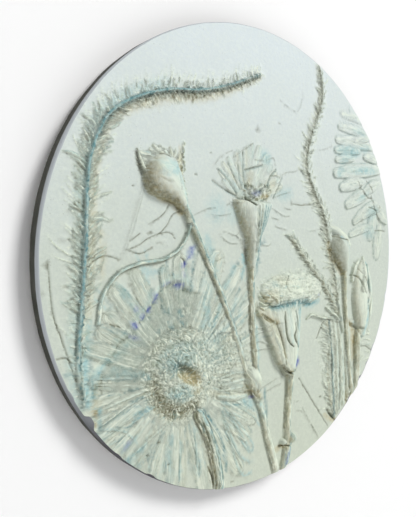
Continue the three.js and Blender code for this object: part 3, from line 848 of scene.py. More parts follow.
@dataclass
class ThistleHead:
    """The thistle: a fluffy head over a long ribbed calyx on a thick jointed stalk."""

    stalk: Flat = (23.5, -122, 26.5, -108, 26.5, -95, 27.6, -80, 28.3, -66)
    calyx: Flat = (28, -68, 26.9, -61, 25.9, -50, 24.4, -39, 22.5, -28)
    head: tuple[float, float, float, float] = (30, -19.5, 25.5, 9.8)
    # Creases: route, half widths, depth.
    creases: tuple[Row, ...] = (((21.5, -31, 21.6, -38, 22.4, -44, 24.6, -49, 27.6, -51.4),
            (0.4, 0.6, 0.75, 0.7, 0.4), (0.8, 1.8, 2.2, 2, 1)),
        ((29.4, -38, 29.6, -42, 28.4, -45.6, 30, -49, 33, -52.6), (0.3, 0.5, 0.65, 0.6, 0.4),
            (0.5, 1, 1.8, 1.6, 0.8)), ((30.4, -31, 31.6, -36, 31.8, -43), 0.4, (0.8, 1, 0.5)),
        ((15, -36.4, 19, -46, 21, -55, 22, -61), 0.5, (0.7, 0.9, 0.7)),
        ((19.6, -61.6, 24, -65.6, 30, -67.4, 34, -66.6), (0.8, 1.2, 1, 0.6), (1.2, 2.6, 2.2, 1)),
        ((5, -31.4, 8.6, -34, 13, -36.4), (1, 1.5, 1), (1, 2, 1)))
    strands: tuple[Flat, ...] = ((-1, -38, 6, -38.6, 12, -36.8, 20, -36.4), (2, -31, 7, -33, 12, -36),
        (0, -42, 6, -41, 11, -40), (1, -46, 7, -46.4, 14, -50), (-3, -50.4, 6, -50.6, 13, -50.6),
        (10, -75, 16, -73, 22, -72), (0, -75, 10, -71, 20, -68))
    # Strokes: wash, route, half widths, amounts.
    strokes: tuple[Row, ...] = ((OCHRE_AND_SHADE, (4, -31, 9, -34, 15, -36, 12, -40), (2.2, 2.8, 2.2), (0.7, 0.9, 0.5)),
        (UMBER_AND_SHADE, (19.5, -61.4, 23.6, -66, 27, -69), (1.2, 2.2, 1.8), (0.9, 1, 0.8)),
        (UMBER_AND_SHADE, (11, -39, 16, -50, 19, -58), 1.2, (0.6, 0.5)),
        (OCHRE_AND_SHADE, (10, -37, 14, -50, 18.6, -60), 1.6, 0.5),
        (ULTRAMARINE, (27, -111, 25.6, -115, 23.8, -119.6), (1, 1.5, 1.2), (0.5, 0.8, 0.5)),
        (BLUE, (27.6, -109, 26, -115, 24, -120), (1.8, 2.2, 2), (0.9, 1, 0.7)),
        (OCHRE_AND_SHADE, (18, -110, 23, -109), 2, 0.8))
    hairs: int = 380
    seed: int = 41

    def press(self, clay: Clay) -> None:
        """Presses the stalk, the calyx and the head into the clay.

        Args:
            clay: The clay to press it into.
        """
        rng = np.random.default_rng(self.seed)
        stalk = clay.lay(self.stalk, (3, 3.2, 2.6, 2.6, 3.2), (2.6, 3, 2.8, 2.9, 4), STALK, self.seed)
        # Umber and ochre on the stalk's left flank are painted shade.
        stalk.tint((UMBER_AND_SHADE, 0.75, 0.2, 0.7), (OCHRE_AND_SHADE, 0.35, 0.5, 0.75), (TEAL, -0.3, 0.16, 0.9, 0.3),
            (PALE_AND_HIGHLIGHT, -0.6, 0.3, 0.8), (BLUE, -0.8, 0.3, 0.5))
        clay.mound((28.6, -105, 3.2, 2.6, 60), 5.6, 0.55)
        clay.mound((22.6, -106.4, 2.3, 1.8, 0), 3.8, 0.6)
        clay.dab((PALE_AND_HIGHLIGHT, (28.8, -105, 3, 2.4, 60), 0.9))
        clay.cut((20, -108.6, 24, -108.8, 29, -109.6, 31.6, -108.6), 0.6, (0.8, 1.4, 1), 0.8)
        calyx = clay.lay(self.calyx, (3.4, 7.6, 10.5, 13.6, 17.5), (3.4, 4.5, 4.8, 4.4, 3.4),
                         Form(2.4, 0.6, -0.1, 5, 0.18, 0.2, 1.2, 0.35, 1.5), self.seed + 2)
        # Ochre and umber on the calyx's left flank are painted shade.
        calyx.tint((OCHRE_AND_SHADE, 0.8, 0.3, 0.6), (UMBER_AND_SHADE, 0.93, 0.1, 0.5), (PALE_AND_HIGHLIGHT, -0.2, 0.5, 0.8),
            (BLUE, -0.72, 0.12, 0.8, 0.3), (BLUE, -0.1, 0.1, 0.4, 0.4), (TEAL, -0.5, 0.04, 0.6, 0.4))
        bract = clay.lay((4, -29, 9.6, -36, 15, -46, 19.6, -56, 25, -65), (2.4, 4, 4.8, 4.6, 3),
            (2.2, 3.2, 3.8, 4.4, 4.4), Form(3, 0.5, -0.1, 3, 0.12, 0.24, 1.1, 0.3), self.seed + 1)
        bract.tint((OCHRE_AND_SHADE, 0.6, 0.5, 0.7), (UMBER_AND_SHADE, 0.85, 0.25, 0.5), (OCHRE_AND_SHADE, -0.5, 0.4, 0.45),
            (UMBER_AND_SHADE, -0.93, 0.14, 0.7), (PALE_AND_HIGHLIGHT, 0.4, 0.4, 0.7))
        for route, wide, depth in self.creases:
            clay.cut(route, wide, depth, 0.9)
        for route in self.strands:
            clay.thread(route, 0.6, 0.8, 0.4)
        self.fluff(clay, rng)
        edge = (13, -28.6, 20, -27.6, 29, -26.4, 38, -26.8, 46, -28.6, 53, -27)
        clay.brush((BLUE, edge, (2.2, 3, 3, 3, 2.2), (0.6, 0.8, 0.8, 0.8, 0.5)),
            (TEAL, edge, (0.9, 1.2, 1.3, 1.3, 0.9), (0.6, 0.8, 0.9, 0.9, 0.5)))
        clay.brush(*self.strokes)
        # The pale dab on the calyx's right side is painted highlight.
        clay.dab((PALE_AND_HIGHLIGHT, (31, -54, 4, 3, 80), 0.9), (ULTRAMARINE, (35.2, -61.4, 4, 1.8, 84), 1.3),
            (TEAL, (33, -63, 3.4, 1.8, 80), 0.7), (BLUE, (32.6, -60, 5, 2.6, 84), 0.9),
            (ULTRAMARINE, (51, -23.4, 2.4, 1.4, 0), 0.3), (BLUE, (15, -15, 3.4, 2.6, 0), 0.4))

    def fluff(self, clay: Clay, rng: np.random.Generator) -> None:
        """Raises the head: a low mound, covered in hairs that stream up and out of the calyx.

        Args:
            clay: The clay to press it into.
            rng: Source of the unevenness.
        """
        x0, z0, wide, tall = self.head
        rows, columns, x, z = clay.window((x0 - wide - 3, z0 - tall - 3), (x0 + wide + 3, z0 + tall + 3))
        u, v = (x - x0) / wide, (z - z0) / tall
        inside = np.maximum(0,
            1 - u * u - v * v + 0.12 * cloud(x, z, 3.2, self.seed) + 0.05 * cloud(x, z, 1.3, self.seed + 3))
        shape = (3.4 + 1.2 * np.exp(-((v + 0.35) / 0.5) ** 2)) * np.minimum(inside, 1) ** 0.4
        shape *= 1 + 0.10 * cloud(x, z, 4, self.seed + 1)
        clay.rise[rows, columns] = np.maximum(clay.rise[rows, columns], shape)
        clay.rough[rows, columns] = np.maximum(clay.rough[rows, columns], 0.6 * smooth(inside * 4))
        clay.dab((PALE_AND_HIGHLIGHT, (x0, z0 + 1, wide, tall, 0), 1))
        hairs = Layer(clay.half, clay.pitch)
        for _ in range(self.hairs):
            turn, out = rng.uniform(0, 2 * math.pi), math.sqrt(rng.uniform(0, 1.05))
            x1, z1 = x0 + out * wide * math.cos(turn), z0 + out * tall * math.sin(turn)
            way = math.atan2(z1 + 52, (x1 - 28) * 1.25) + rng.normal(0, 0.3)
            hairs.hair((x1, z1), way, rng.uniform(2, 6), rng.normal(0, 0.5), rng.uniform(0.45, 0.8),
                rng.uniform(0.25, 0.7))
        for x1 in np.arange(8, 52, 0.9):
            hairs.hair((x1, -24.5 + rng.normal(0, 1)), math.atan2(-14, 28 - x1) + rng.normal(0, 0.2),
                rng.uniform(4, 9), rng.normal(0, 0.3), rng.uniform(0.4, 0.6), rng.uniform(0.4, 0.9))
        for route in ((4, -21, 6.6, -23.4, 9.6, -22, 8, -20.6, 5.4, -22), (5, -25, 9, -26.6, 12, -24.8),
                (10, -20.6, 13.6, -22.6, 16, -25.6), (3, -27, 7, -28.6, 11, -27)):
            hairs.ridge(route, 0.7, 1.5)
        clay.fur(hairs)
        clay.cut((24.4, -20, 22.8, -15.6, 25.6, -10.8), 0.45, 0.7, 0.35)
        clay.dab((OCHRE_AND_SHADE, (11, -22, 8, 5, 0), 0.45), (OCHRE_AND_SHADE, (20, -13, 8, 3.4, 0), 0.3))


@dataclass
class Daisy:
    """The big daisy at the lower left: flat petals round a fuzzy domed disc with a pit."""

    centre: tuple[float, float] = (-50, -58)
    disc: float = 18.5
    disc_rise: float = 5.0
    petals: int = 30
    turns: Flat = (-180, -150, -110, -70, -45, -20, 0, 20, 50, 70, 90, 120, 150, 180)
    reach: Flat = (51, 62, 70, 72, 70, 58, 48, 54, 70, 64, 59, 62, 58, 51)
    edge_turns: Flat = (62, 72, 78, 86, 90, 97, 113, 125, 137, 155, 168, 182, 190)
    edge: Flat = (44, 44, 44, 45, 47, 48, 42, 38.5, 37, 42, 45, 49, 49)
    folds: tuple[tuple[Flat, float, float], ...] = (((-66, -60.4, -84, -64, -97.6, -67.6), 1.3, 1.5),
        ((-68, -63.3, -83, -67.7, -95.8, -74.8), 1.1, 1.3), ((-62, -69.4, -76, -73.4, -91, -77.9), 1, 0.9),
        ((-66.5, -70.6, -72.8, -73.1, -78, -76.1), 1.2, 1),
        ((-55.5, -79, -68.7, -85.6, -80.2, -93), 1, 1.1),
        ((-57.7, -82.4, -64.4, -90.2, -74, -98.9), 0.7, 0.7),
        ((-97.5, -52.4, -84, -54, -68.5, -56.7), 0.8, 0.7), ((-97.5, -55.2, -85, -57, -70.7, -60), 0.6, 0.5),
        ((-26, -72, -15.3, -74.4, -3.2, -75), 2.2, 1.8), ((-25, -69.4, -14, -69.6, -3, -69.4), 1.2, 1),
        ((-23, -66.6, -14, -66, -4.7, -65.6), 1.5, 1.1), ((-24, -62.6, -14, -61.4, -4.7, -62.4), 1.2, 0.9))
    outlines: tuple[Flat, ...] = ((-21.8, -78.6, -14, -89, -6, -100, -1.7, -106.9),
        (-23.1, -76.3, -11.4, -80.4, -0.4, -87.5, 5.2, -93.8),
        (-23.1, -80.3, -16.6, -94.5, -8.6, -108.4, 3.2, -115.3),
        (-21.8, -86.5, -15.3, -102.9, -11.3, -113.9, -5.8, -119.4, 3.9, -116.5),
        (-17.9, -82.2, -8.6, -92.1, -0.4, -103.1, -1.1, -107.1, -4.5, -105.3, -11, -96),
        (-12.8, -32, -10.2, -25.3, -4.8, -18.6), (-12.8, -37, -4.8, -30.7), (-11.5, -45.2, -2, -41.1),
        (-41.6, -85.6, -40.4, -99.2, -39.2, -112.1, -37.8, -108, -38.6, -99),
        (-39.2, -36.4, -34.3, -26.3, -31.9, -16.9), (-95, -76, -88, -77.4, -82, -80, -76, -86),
        (-78.4, -76, -84, -82, -90, -84))
    streaks: tuple[tuple[Wash, float, float, Flat], ...] = (
        (TEAL, 1.7, 0.9, (-59.7, -19.8, -58.6, -26.2, -55.3, -33.8)),
        (TEAL, 1.7, 1, (-50.8, -20.4, -49.7, -27, -47.4, -33.7)),
        (BLUE, 3.2, 0.8, (-34.3, -16.8, -33.7, -24.5, -31.9, -33.3)),
        (TEAL, 0.9, 0.6, (-25.7, -28, -28.2, -32.6, -31.3, -37.2)),
        (TEAL, 0.7, 0.5, (-41.5, -19.2, -40.3, -25.9, -39.2, -32.6)),
        (BLUE, 1.6, 0.9, (-85.6, -9.4, -82.7, -12.5, -78.7, -16.7)),
        (BLUE, 1.8, 0.5, (-70.4, -2.2, -69.3, -5.8, -68.3, -10.3)),
        (TEAL, 0.8, 0.7, (-52.7, -83.4, -55.5, -90.2, -57.8, -97.2)),
        (TEAL, 0.6, 0.5, (-46.3, -81.8, -48.1, -92.8, -51, -104.4)),
        (BLUE, 2.6, 0.8, (-90, -49, -78.9, -52.1, -68.5, -55.1)),
        (TEAL, 0.8, 0.7, (-84, -52, -76, -54.6, -68.5, -57)),
        (BLUE, 1.5, 0.9, (-66.5, -70.4, -72.8, -72.9, -78, -75.6)),
        (TEAL, 0.7, 0.6, (-69, -66, -80, -69.4, -92, -73)), (BLUE, 2.2, 0.6, (-74, -90, -80, -94, -84, -98)),
        (BLUE, 1.4, 0.7, (-96.4, -64, -96.4, -70, -95.6, -76)), (BLUE, 3.6, 0.6, (-14, -78, -4, -80, 5, -84)),
        (BLUE, 1.6, 0.6, (-22, -76, -12, -79.4, -4, -79.6)), (TEAL, 0.8, 0.6, (-60, -41, -64, -31, -67, -24)))
    stalk: Flat = (-24.5, -122, -27.5, -106, -32.6, -91, -39, -79)
    # Patches: wash, dx, dz, half length, half width, degrees, amount.
    # The umber patch along the upper edge of the pit is painted shade.
    patches: tuple[Row, ...] = ((OCHRE_AND_SHADE, 2.8, 0.4, 9.8, 4.4, -30, 2.4), (UMBER_AND_SHADE, 0.8, 4.4, 8, 1.8, -30, 1),
        (BLUE, -3, 10, 14, 8, 10, 0.6), (TEAL, -2, 5, 10, 4, -10, 0.8), (PALE_AND_HIGHLIGHT, -2, 8, 16, 9, 10, 0.8),
        (PALE_AND_HIGHLIGHT, 4, -8, 12, 6, 10, 0.8), (BLUE, -3, -8, 10, 6, 0, 0.6), (OCHRE_AND_SHADE, 8, -8, 5, 3, 0, 0.6),
        (BLUE, 20, 12, 12, 12, 0, 0.35), (OCHRE_AND_SHADE, 30, 12, 9, 11, 0, 0.2), (TEAL, 0, 17, 16, 3, 0, 0.3))
    petal_threads: int = 5
    disc_hairs: int = 1500
    beard: tuple[float, float] = (25, 8)
    beard_hairs: int = 420
    pit_oval: tuple[float, float, float, float, float] = (2.4, 1.2, 8.2, 3.8, -30)
    pit_depth: float = 3.6
    sunk: float = 0.9
    sunk_step: float = 1.6
    seed: int = 51

    def around(self, degrees: float, out: float) -> tuple[float, float]:
        """Finds a place by its direction and distance from the centre of the disc."""
        turn = math.radians(degrees)
        return self.centre[0] + out * math.cos(turn), self.centre[1] + out * math.sin(turn)

    def press(self, clay: Clay) -> None:
        """Presses the petals, the disc and the stalk into the clay.

        Args:
            clay: The clay to press it into.
        """
        rng = np.random.default_rng(self.seed)
        for k in rng.permutation(self.petals):
            degrees = -180 + 360 * (k + 0.5) / self.petals + rng.normal(0, 2)
            long = float(np.interp(degrees, self.turns, self.reach)) * rng.uniform(0.92, 1.05)
            self.petal(clay, rng, degrees, long, rng.uniform(4.2, 6.2) * long / 60, rng.uniform(0.45, 0.85),
                int(k))
        self.sink(clay)
        for i, (route, wide, rise) in enumerate(self.folds):
            fold = clay.lay(route, (wide * 0.6, wide, wide, wide * 0.6), (rise, rise, rise * 0.9, rise * 0.5),
                            Form(2.4, 0.7, 0.1, 2, 0.10, 0.2, 0.5, 0.5), 80 + i, 0.5)
            fold.tint((PALE_AND_HIGHLIGHT, -0.1, 0.7, 0.8), (BLUE, 0.2, 0.3, 0.4), (OCHRE_AND_SHADE, 0.9, 0.3, 0.4))
        for route in self.outlines:
            clay.thread(route, 0.5, 0.4, 0.4)
            clay.brush((BLUE, route, 0.9, 0.5))
        for wash, wide, amount, route in self.streaks:
            clay.brush((wash, route, (wide * 0.4, wide, wide, wide * 0.6),
                (amount * 0.6, amount, amount * 0.8)))
        self.press_disc(clay, rng)
        stalk = clay.lay(self.stalk, (4, 4, 3.8, 3.6), (1.9, 2.1, 2.4, 3),
            Form(2.4, 0.6, 0, 5, 0.32, 0.5, 0.6), self.seed)
        # Umber and ochre on the stalk's left flank are painted shade.
        stalk.tint((UMBER_AND_SHADE, 0.6, 0.24, 1), (OCHRE_AND_SHADE, 0.7, 0.36, 0.6), (UMBER_AND_SHADE, 0.05, 0.08, 0.9, -1, 2, 0.6),
            (TEAL, -0.75, 0.12, 1, 0.1), (BLUE, -0.5, 0.3, 0.9), (PALE_AND_HIGHLIGHT, -0.2, 0.14, 0.9))
        for route, amount in (((-32.5, -107.9, -30, -113.4, -28.8, -118.6), 1),
                ((-37, -84, -33, -93, -30, -101), 0.9), ((-34.6, -80, -30.6, -88), 0.8)):
            clay.cut(route, 0.5, (0.6, 1, 0.6), amount)
        clay.brush((TEAL, (-35.6, -77.1, -29.4, -85, -24.1, -93.2, -20.8, -104, -19.2, -113), 1.1,
            (0.9, 0.7, 1, 0.8)))

    def petal(self, clay: Clay, rng: np.random.Generator, degrees: float, long: float, wide: float,
            high: float, seed: int) -> None:
        """Lays one flat petal from under the disc outwards, with its own bend, colour and veins.

        Args:
            clay: The clay.
            rng: Source of the unevenness.
            degrees: Its direction.
            long: How far from the centre it reaches.
            wide: Its greatest half width.
            high: Its rise near the disc.
            seed: Picks its roughness.
        """
        bend = rng.normal(0, 2.5)
        route = (*self.around(degrees, 12), *self.around(degrees + bend, long * 0.5),
            *self.around(degrees + bend * 0.4, long - wide * 0.6))
        leaf = clay.lay(route, (1.2, wide * 0.7, wide, wide, wide * 0.8),
            (high * 1.3, high, high, high * 0.9, high * 0.7),
            Form(8, 0.35, rng.uniform(-0.4, 0.4), rng.uniform(2, 3.4), 0.09, 0.14, 0.7, 0.5, run=0.09), seed,
            0.5)
        # The umber on each petal's lower edge, away from the light, is painted shadow.
        shade_side = math.copysign(0.95, -math.cos(math.radians(degrees - 20)))
        leaf.tint((UMBER_AND_SHADE, shade_side, 0.08, 0.7, 0.2, 2, 0.5), (TEAL, -shade_side, 0.08, 0.8, 0.2, 2, 0.5))
        olive = 1.0 if 85 < degrees < 170 else 0.0
        leaf.tint((OCHRE_AND_SHADE, rng.uniform(-0.8, 0.8), 0.4, rng.uniform(0.05, 0.3) + 0.15 * olive, 0.1),
            (OCHRE_AND_SHADE, 0, 2, 0.3 * olive), (PALE_AND_HIGHLIGHT, rng.uniform(-0.6, 0.6), 0.25, 0.5 - 0.3 * olive),
            (TEAL, 0, 2, 0.22 * olive))
        for _ in range(3):
            wash = TEAL if rng.uniform() < 0.3 else BLUE
            leaf.tint((wash, rng.uniform(-0.8, 0.8), rng.uniform(0.05, 0.22), rng.uniform(0.2, 0.6),
                rng.uniform(0, 0.6), rng.uniform(0.7, 1.1), 0.9))
        for _ in range(self.petal_threads):
            turn, start = degrees + rng.uniform(-0.9, 0.9) * math.degrees(wide / long), rng.uniform(20, 40)
            clay.thread(
                (*self.around(turn, start), *self.around(turn + bend * 0.5, long * rng.uniform(0.7, 0.95))),
                0.4, rng.uniform(0.15, 0.4), rng.uniform(0.1, 0.5), TEAL if rng.uniform() < 0.5 else UMBER_AND_SHADE)

    def sink(self, clay: Clay) -> None:
        """Sinks the upper left petals inside a scalloped line, and leaves them olive.

        The line is a distance from the centre for each direction. Inside it the rise is pressed
        down by a little under one millimetre, with a soft step 1.6 mm wide.

        Args:
            clay: The clay to press it into.
        """
        x0, z0 = self.centre
        rows, columns, x, z = clay.window((x0 - 56, z0 - 14), (x0 + 26, z0 + 56))
        radius, angle = np.hypot(x - x0, z - z0), np.degrees(np.arctan2(z - z0, x - x0)) % 360
        line = np.interp(angle, self.edge_turns, self.edge, left=44.0, right=49.0)
        line = line + 1.2 * cloud(x, z, 5, self.seed)
        fade = smooth((angle - 64) / 16) * smooth((190 - angle) / 14)
        inside = smooth((line - radius) / self.sunk_step) * fade
        clay.rise[rows, columns] = clay.rise[rows, columns] * (1 - 0.4 * inside) - self.sunk * inside
        scallop = smooth((angle - 78) / 6) * fade
        step = np.exp(-((radius - line + 0.6) / 1.1) ** 2) * scallop
        # The olive inside is paint; the added step along the line is painted shade.
        for wash, amount in ((OCHRE_AND_SHADE, 0.42), (UMBER_AND_SHADE, 0.04), (TEAL, 0.34)):
            image = clay.washes[wash]
            image[rows, columns] = clamp(np.maximum(image[rows, columns], amount * inside) + 0.3 * step)
        for wash in (PALE_AND_HIGHLIGHT, BLUE):
            clay.washes[wash][rows, columns] *= 1 - 0.6 * inside
        band = np.exp(-((radius - line - 2) / 1.5) ** 2) * scallop
        clay.rise[rows, columns] += 0.35 * band
        clay.washes[PALE_AND_HIGHLIGHT][rows, columns] = np.maximum(clay.washes[PALE_AND_HIGHLIGHT][rows, columns], 0.7 * band)
        clay.washes[BLUE][rows, columns] = np.maximum(clay.washes[BLUE][rows, columns], 0.4 * band)

    def press_disc(self, clay: Clay, rng: np.random.Generator) -> None:
        """Raises the domed disc with its pit, and covers it in short curly hairs.

        Args:
            clay: The clay to press it into.
            rng: Source of the unevenness.
        """
        x0, z0 = self.centre
        rows, columns, x, z = clay.window((x0 - 44, z0 - 26), (x0 + 48, z0 + 32))
        radius = np.hypot(x - x0, z - z0)
        share = radius / self.disc
        bumps = 1 + 0.08 * cloud(x, z, 3.5, self.seed + 1)
        dome = self.disc_rise * np.maximum(0, 1 - share ** 2.6) ** 0.9 * bumps
        beard = np.exp(-((x - x0 - 27) / 11) ** 2 - ((z - z0 - 8) / 12) ** 2)
        fluff = 0.9 * smooth((1.4 - share) / 0.5) + 0.9 * beard
        pit = self.pit(x, z)
        shape = np.maximum(dome, fluff) - self.pit_depth * np.exp(-pit ** 1.8)
        ground = clay.rise[rows, columns]
        clay.rise[rows, columns] = np.where(share < 1,
            np.maximum(shape, ground * smooth((share - 0.7) / 0.3)), np.maximum(shape, ground))
        halo = np.maximum(smooth((1.45 - share) * 3), smooth(fluff))
        clay.rough[rows, columns] = np.maximum(clay.rough[rows, columns], halo)
        for image, straight, seed in ((clay.across, x, 3), (clay.along, z, 4)):
            curled = 0.9 * straight + 1.8 * cloud(x, z, 3.4, self.seed + seed)
            image[rows, columns] = np.where(halo > 0.3, curled, image[rows, columns])
        for wash in Wash:
            clay.washes[wash][rows, columns] *= 1 - 0.8 * smooth((1.25 - share) * 3)
        fur = Layer(clay.half, clay.pitch)
        for _ in range(self.disc_hairs):
            turn = rng.uniform(-180, 180)
            out = self.disc * math.sqrt(rng.uniform(0.05, 1.3 if turn < -10 or turn > 140 else 1.9))
            way = math.radians(turn + 10) + rng.normal(0, 1.7)
            fur.hair(self.around(turn, out), way, rng.uniform(1.4, 3.2), rng.normal(0, 1.4),
                rng.uniform(0.5, 0.7), rng.uniform(0.5, 1.3) * (1.0 if out < 20 else 0.6))
        for _ in range(self.beard_hairs):
            place = x0 + self.beard[0] + 8 * rng.normal(), z0 + self.beard[1] + 9 * rng.normal()
            fur.hair(place, rng.uniform(-0.6, 2.4), rng.uniform(2, 4.6), rng.normal(0, 1),
                rng.uniform(0.4, 0.55), rng.uniform(0.3, 0.8))
        rows2, columns2, x, z = fur.window((x0 - 12, z0 - 10), (x0 + 14, z0 + 12))
        fur.rise[rows2, columns2] *= smooth((self.pit(x, z) - 0.25) / 0.8)
        clay.fur(fur)
        for wash, dx, dz, long, wide, turn, amount in self.patches:
            clay.dab((wash, (x0 + dx, z0 + dz, long, wide, turn), amount))
        # Umber and ochre round the lower left flank of the disc are painted shade.
        shade_arc = [part for degrees in np.linspace(-190, -62, 7) for part in self.around(degrees, 17.2)]
        clay.brush((UMBER_AND_SHADE, shade_arc, (1.6, 4, 5, 3.6), (0.3, 0.7, 0.8, 0.8)),
            (OCHRE_AND_SHADE, shade_arc, (2.6, 5, 6, 4.6), (0.3, 0.5, 0.6, 0.5)))

    def pit(self, x: np.ndarray, z: np.ndarray) -> np.ndarray:
        """Measures places from the middle of the oval pit: 1 on its edge, squared.

        Args:
            x: Places across.
            z: Places up.

        Returns:
            One squared distance for each place.
        """
        aside, above, long, wide, degrees = self.pit_oval
        cos, sin = math.cos(math.radians(degrees)), math.sin(math.radians(degrees))
        px, pz = x - self.centre[0] - aside, z - self.centre[1] - above
        return ((px * cos + pz * sin) / long) ** 2 + ((pz * cos - px * sin) / wide) ** 2


@dataclass
class RightSpike:
    """The slender spike at the right that weaves down behind the small bud."""

    route: Flat = (71, -26, 67.5, -10, 62.5, 8, 57.5, 25, 48, 40, 42.5, 54, 46, 70, 53, 86, 55.5, 96, 53.5,
        111)
    sprigs: tuple[Sprig, ...] = (Sprig(1, 2.3, (7, 8.5, 8.5, 7.5, 5), 34, 0.9, 0.8, 0, 1, 0.2, 0.9, 0.2),
        Sprig(-1, 2.2, (5, 6, 6, 5, 4), 30, 0.9, 0.9, 0, 1, 0.4, 0.8, 0.2),
        Sprig(1, 2.6, (4.5, 5, 5, 4), 10, 1, 1.4, 0, 1, 0.4, 0.9, 0.3))
    seed: int = 61

    def press(self, clay: Clay) -> None:
        """Presses the spike into the clay.

        Args:
            clay: The clay to press it into.
        """
        rng = np.random.default_rng(self.seed)
        clay.ridge(self.route, (3.4, 4.4, 4.6, 4.6, 4, 3.4, 2.6), (0.7, 0.9, 1, 1, 0.8), 1)
        for sprig in self.sprigs:
            clay.sprigs(self.route, sprig, rng)
        fur = Layer(clay.half, clay.pitch)
        for fringe in (Fringe(1, 2.2, (7, 8, 8, 7, 5), (46, 48, 52), -16, 0.45, 0.6, 0.3),
                Fringe(-1, 2.2, (5, 6, 6, 4), (46, 50), -16, 0.45, 0.6, 0.3)):
            clay.comb(self.route, fringe, rng, fur)
        clay.fur(fur)
        # The umber beside the stalk's left side is painted shade.
        clay.brush((UMBER_AND_SHADE, beside(self.route, 1.2), (0.9, 1.2, 1), (0.6, 0.9, 0.7)),
            (OCHRE_AND_SHADE, beside(self.route, 2), 2.4, 0.2))


@dataclass
class RightBud:
    """The small smooth bud at the right on its straight stalk."""

    stalk: Flat = (86, -91, 82, -73, 80, -55, 77.6, -30, 76, -8)
    body: Flat = (77.4, -12, 76, -7, 73.6, -1, 71.4, 5)
    seed: int = 65

    def press(self, clay: Clay) -> None:
        """Presses the stalk and the bud into the clay.

        Args:
            clay: The clay to press it into.
        """
        stalk = clay.lay(self.stalk, (2.3, 2.1, 1.8, 1.8, 2), (2.2, 2.3, 2.3, 2.4, 3.4), STALK, self.seed)
        # Ochre and umber on the stalk's left flank are painted shade.
        stalk.tint((OCHRE_AND_SHADE, 0.4, 0.5, 0.6), (UMBER_AND_SHADE, 0.8, 0.2, 0.6), (BLUE, -0.6, 0.3, 0.5),
            (PALE_AND_HIGHLIGHT, -0.3, 0.3, 0.6))
        body = clay.lay(self.body, (1.9, 4.2, 7.8, 8.6), (2.6, 3.8, 5.4, 5.6),
            Form(2.1, 0.55, 0, 3, 0.05, 0.12, 0.8, 0.12), self.seed + 1)
        # Ochre and umber on the body's left flank are painted shade; the pale on its right is partly painted
        # highlight.
        body.tint((OCHRE_AND_SHADE, 0.5, 0.6, 0.5, -1, 2, 0.1), (UMBER_AND_SHADE, 0.7, 0.5, 0.7, -1, 2, 0.1),
            (TEAL, 0.2, 1.2, 0.2), (PALE_AND_HIGHLIGHT, -0.3, 0.4, 0.6), (BLUE, -0.85, 0.25, 0.6))
        flap = clay.lay((63.6, 17, 68, 15.4, 73, 11.4, 77.6, 6), (1.2, 2.8, 3.4, 2.4), (1.4, 3.2, 4.8, 4.8),
            Form(2.4, 0.6, 0, 0, 0, 0.14, 0.8, 0.15), self.seed + 2)
        flap.tint((PALE_AND_HIGHLIGHT, 0.1, 0.8, 0.9), (OCHRE_AND_SHADE, 0.6, 0.4, 0.2))
        clay.cut((65, 12, 68, 10.8, 72, 9.8, 75, 9.4), 0.45, (0.7, 0.9, 0.5), 0.8)
        # The umber and ochre along the bud's left edge are painted shade.
        clay.brush((UMBER_AND_SHADE, (61.6, 10, 63.4, 2, 69, -4.6, 74.6, -10), (1.4, 2.4, 1.6), (0.6, 1, 0.8)),
            (OCHRE_AND_SHADE, (61, 8, 63, 1, 68, -5, 74, -11), (2, 3.2, 2.4), 0.8),
            (TEAL, (80.6, 5, 81, 0, 78.6, -5), 0.8, (0.6, 0.7, 0.4)))


@dataclass
class GrassEar:
    """The small ear of grass that leans across to the right spike."""

    route: Flat = (71, -35, 57, -16.5, 43, -2.5, 28.5, 12.5)
    sprigs: tuple[Sprig, ...] = (Sprig(1, 2.3, (6, 5.4, 4.4), 26, 1, 0.9, 0, 1, 0.4, 0.5, 0.2),
        Sprig(-1, 2.3, (5, 4.6, 4), 26, 1, 0.9, 0, 1, 0.6, 0.5, 0.1),
        Sprig(1, 2.6, (4, 4, 3), 4, 1, 1.5, 0, 1, 0.4, 0.9, 0.2))
    seed: int = 71

    def press(self, clay: Clay) -> None:
        """Presses the ear into the clay.

        Args:
            clay: The clay to press it into.
        """
        rng = np.random.default_rng(self.seed)
        clay.ridge(self.route, (1.9, 2, 2, 1.2), (0.8, 0.9, 0.9, 0.7), 1)
        for sprig in self.sprigs:
            clay.sprigs(self.route, sprig, rng)
        hairs = Layer(clay.half, clay.pitch)
        for side in (-1, 1):
            clay.comb(self.route, Fringe(side, 2.2, 4.4, 44, 10, 0.36, 0.7, 0.3, 0.8), rng, hairs)
        clay.fur(hairs)
        # The umber along the ear's lower left side is painted shade.
        clay.brush((UMBER_AND_SHADE, beside(self.route, 1.9), 0.7, (0.4, 0.6, 0.5)),
            (OCHRE_AND_SHADE, beside(self.route, 0.8), 1.6, 0.3))


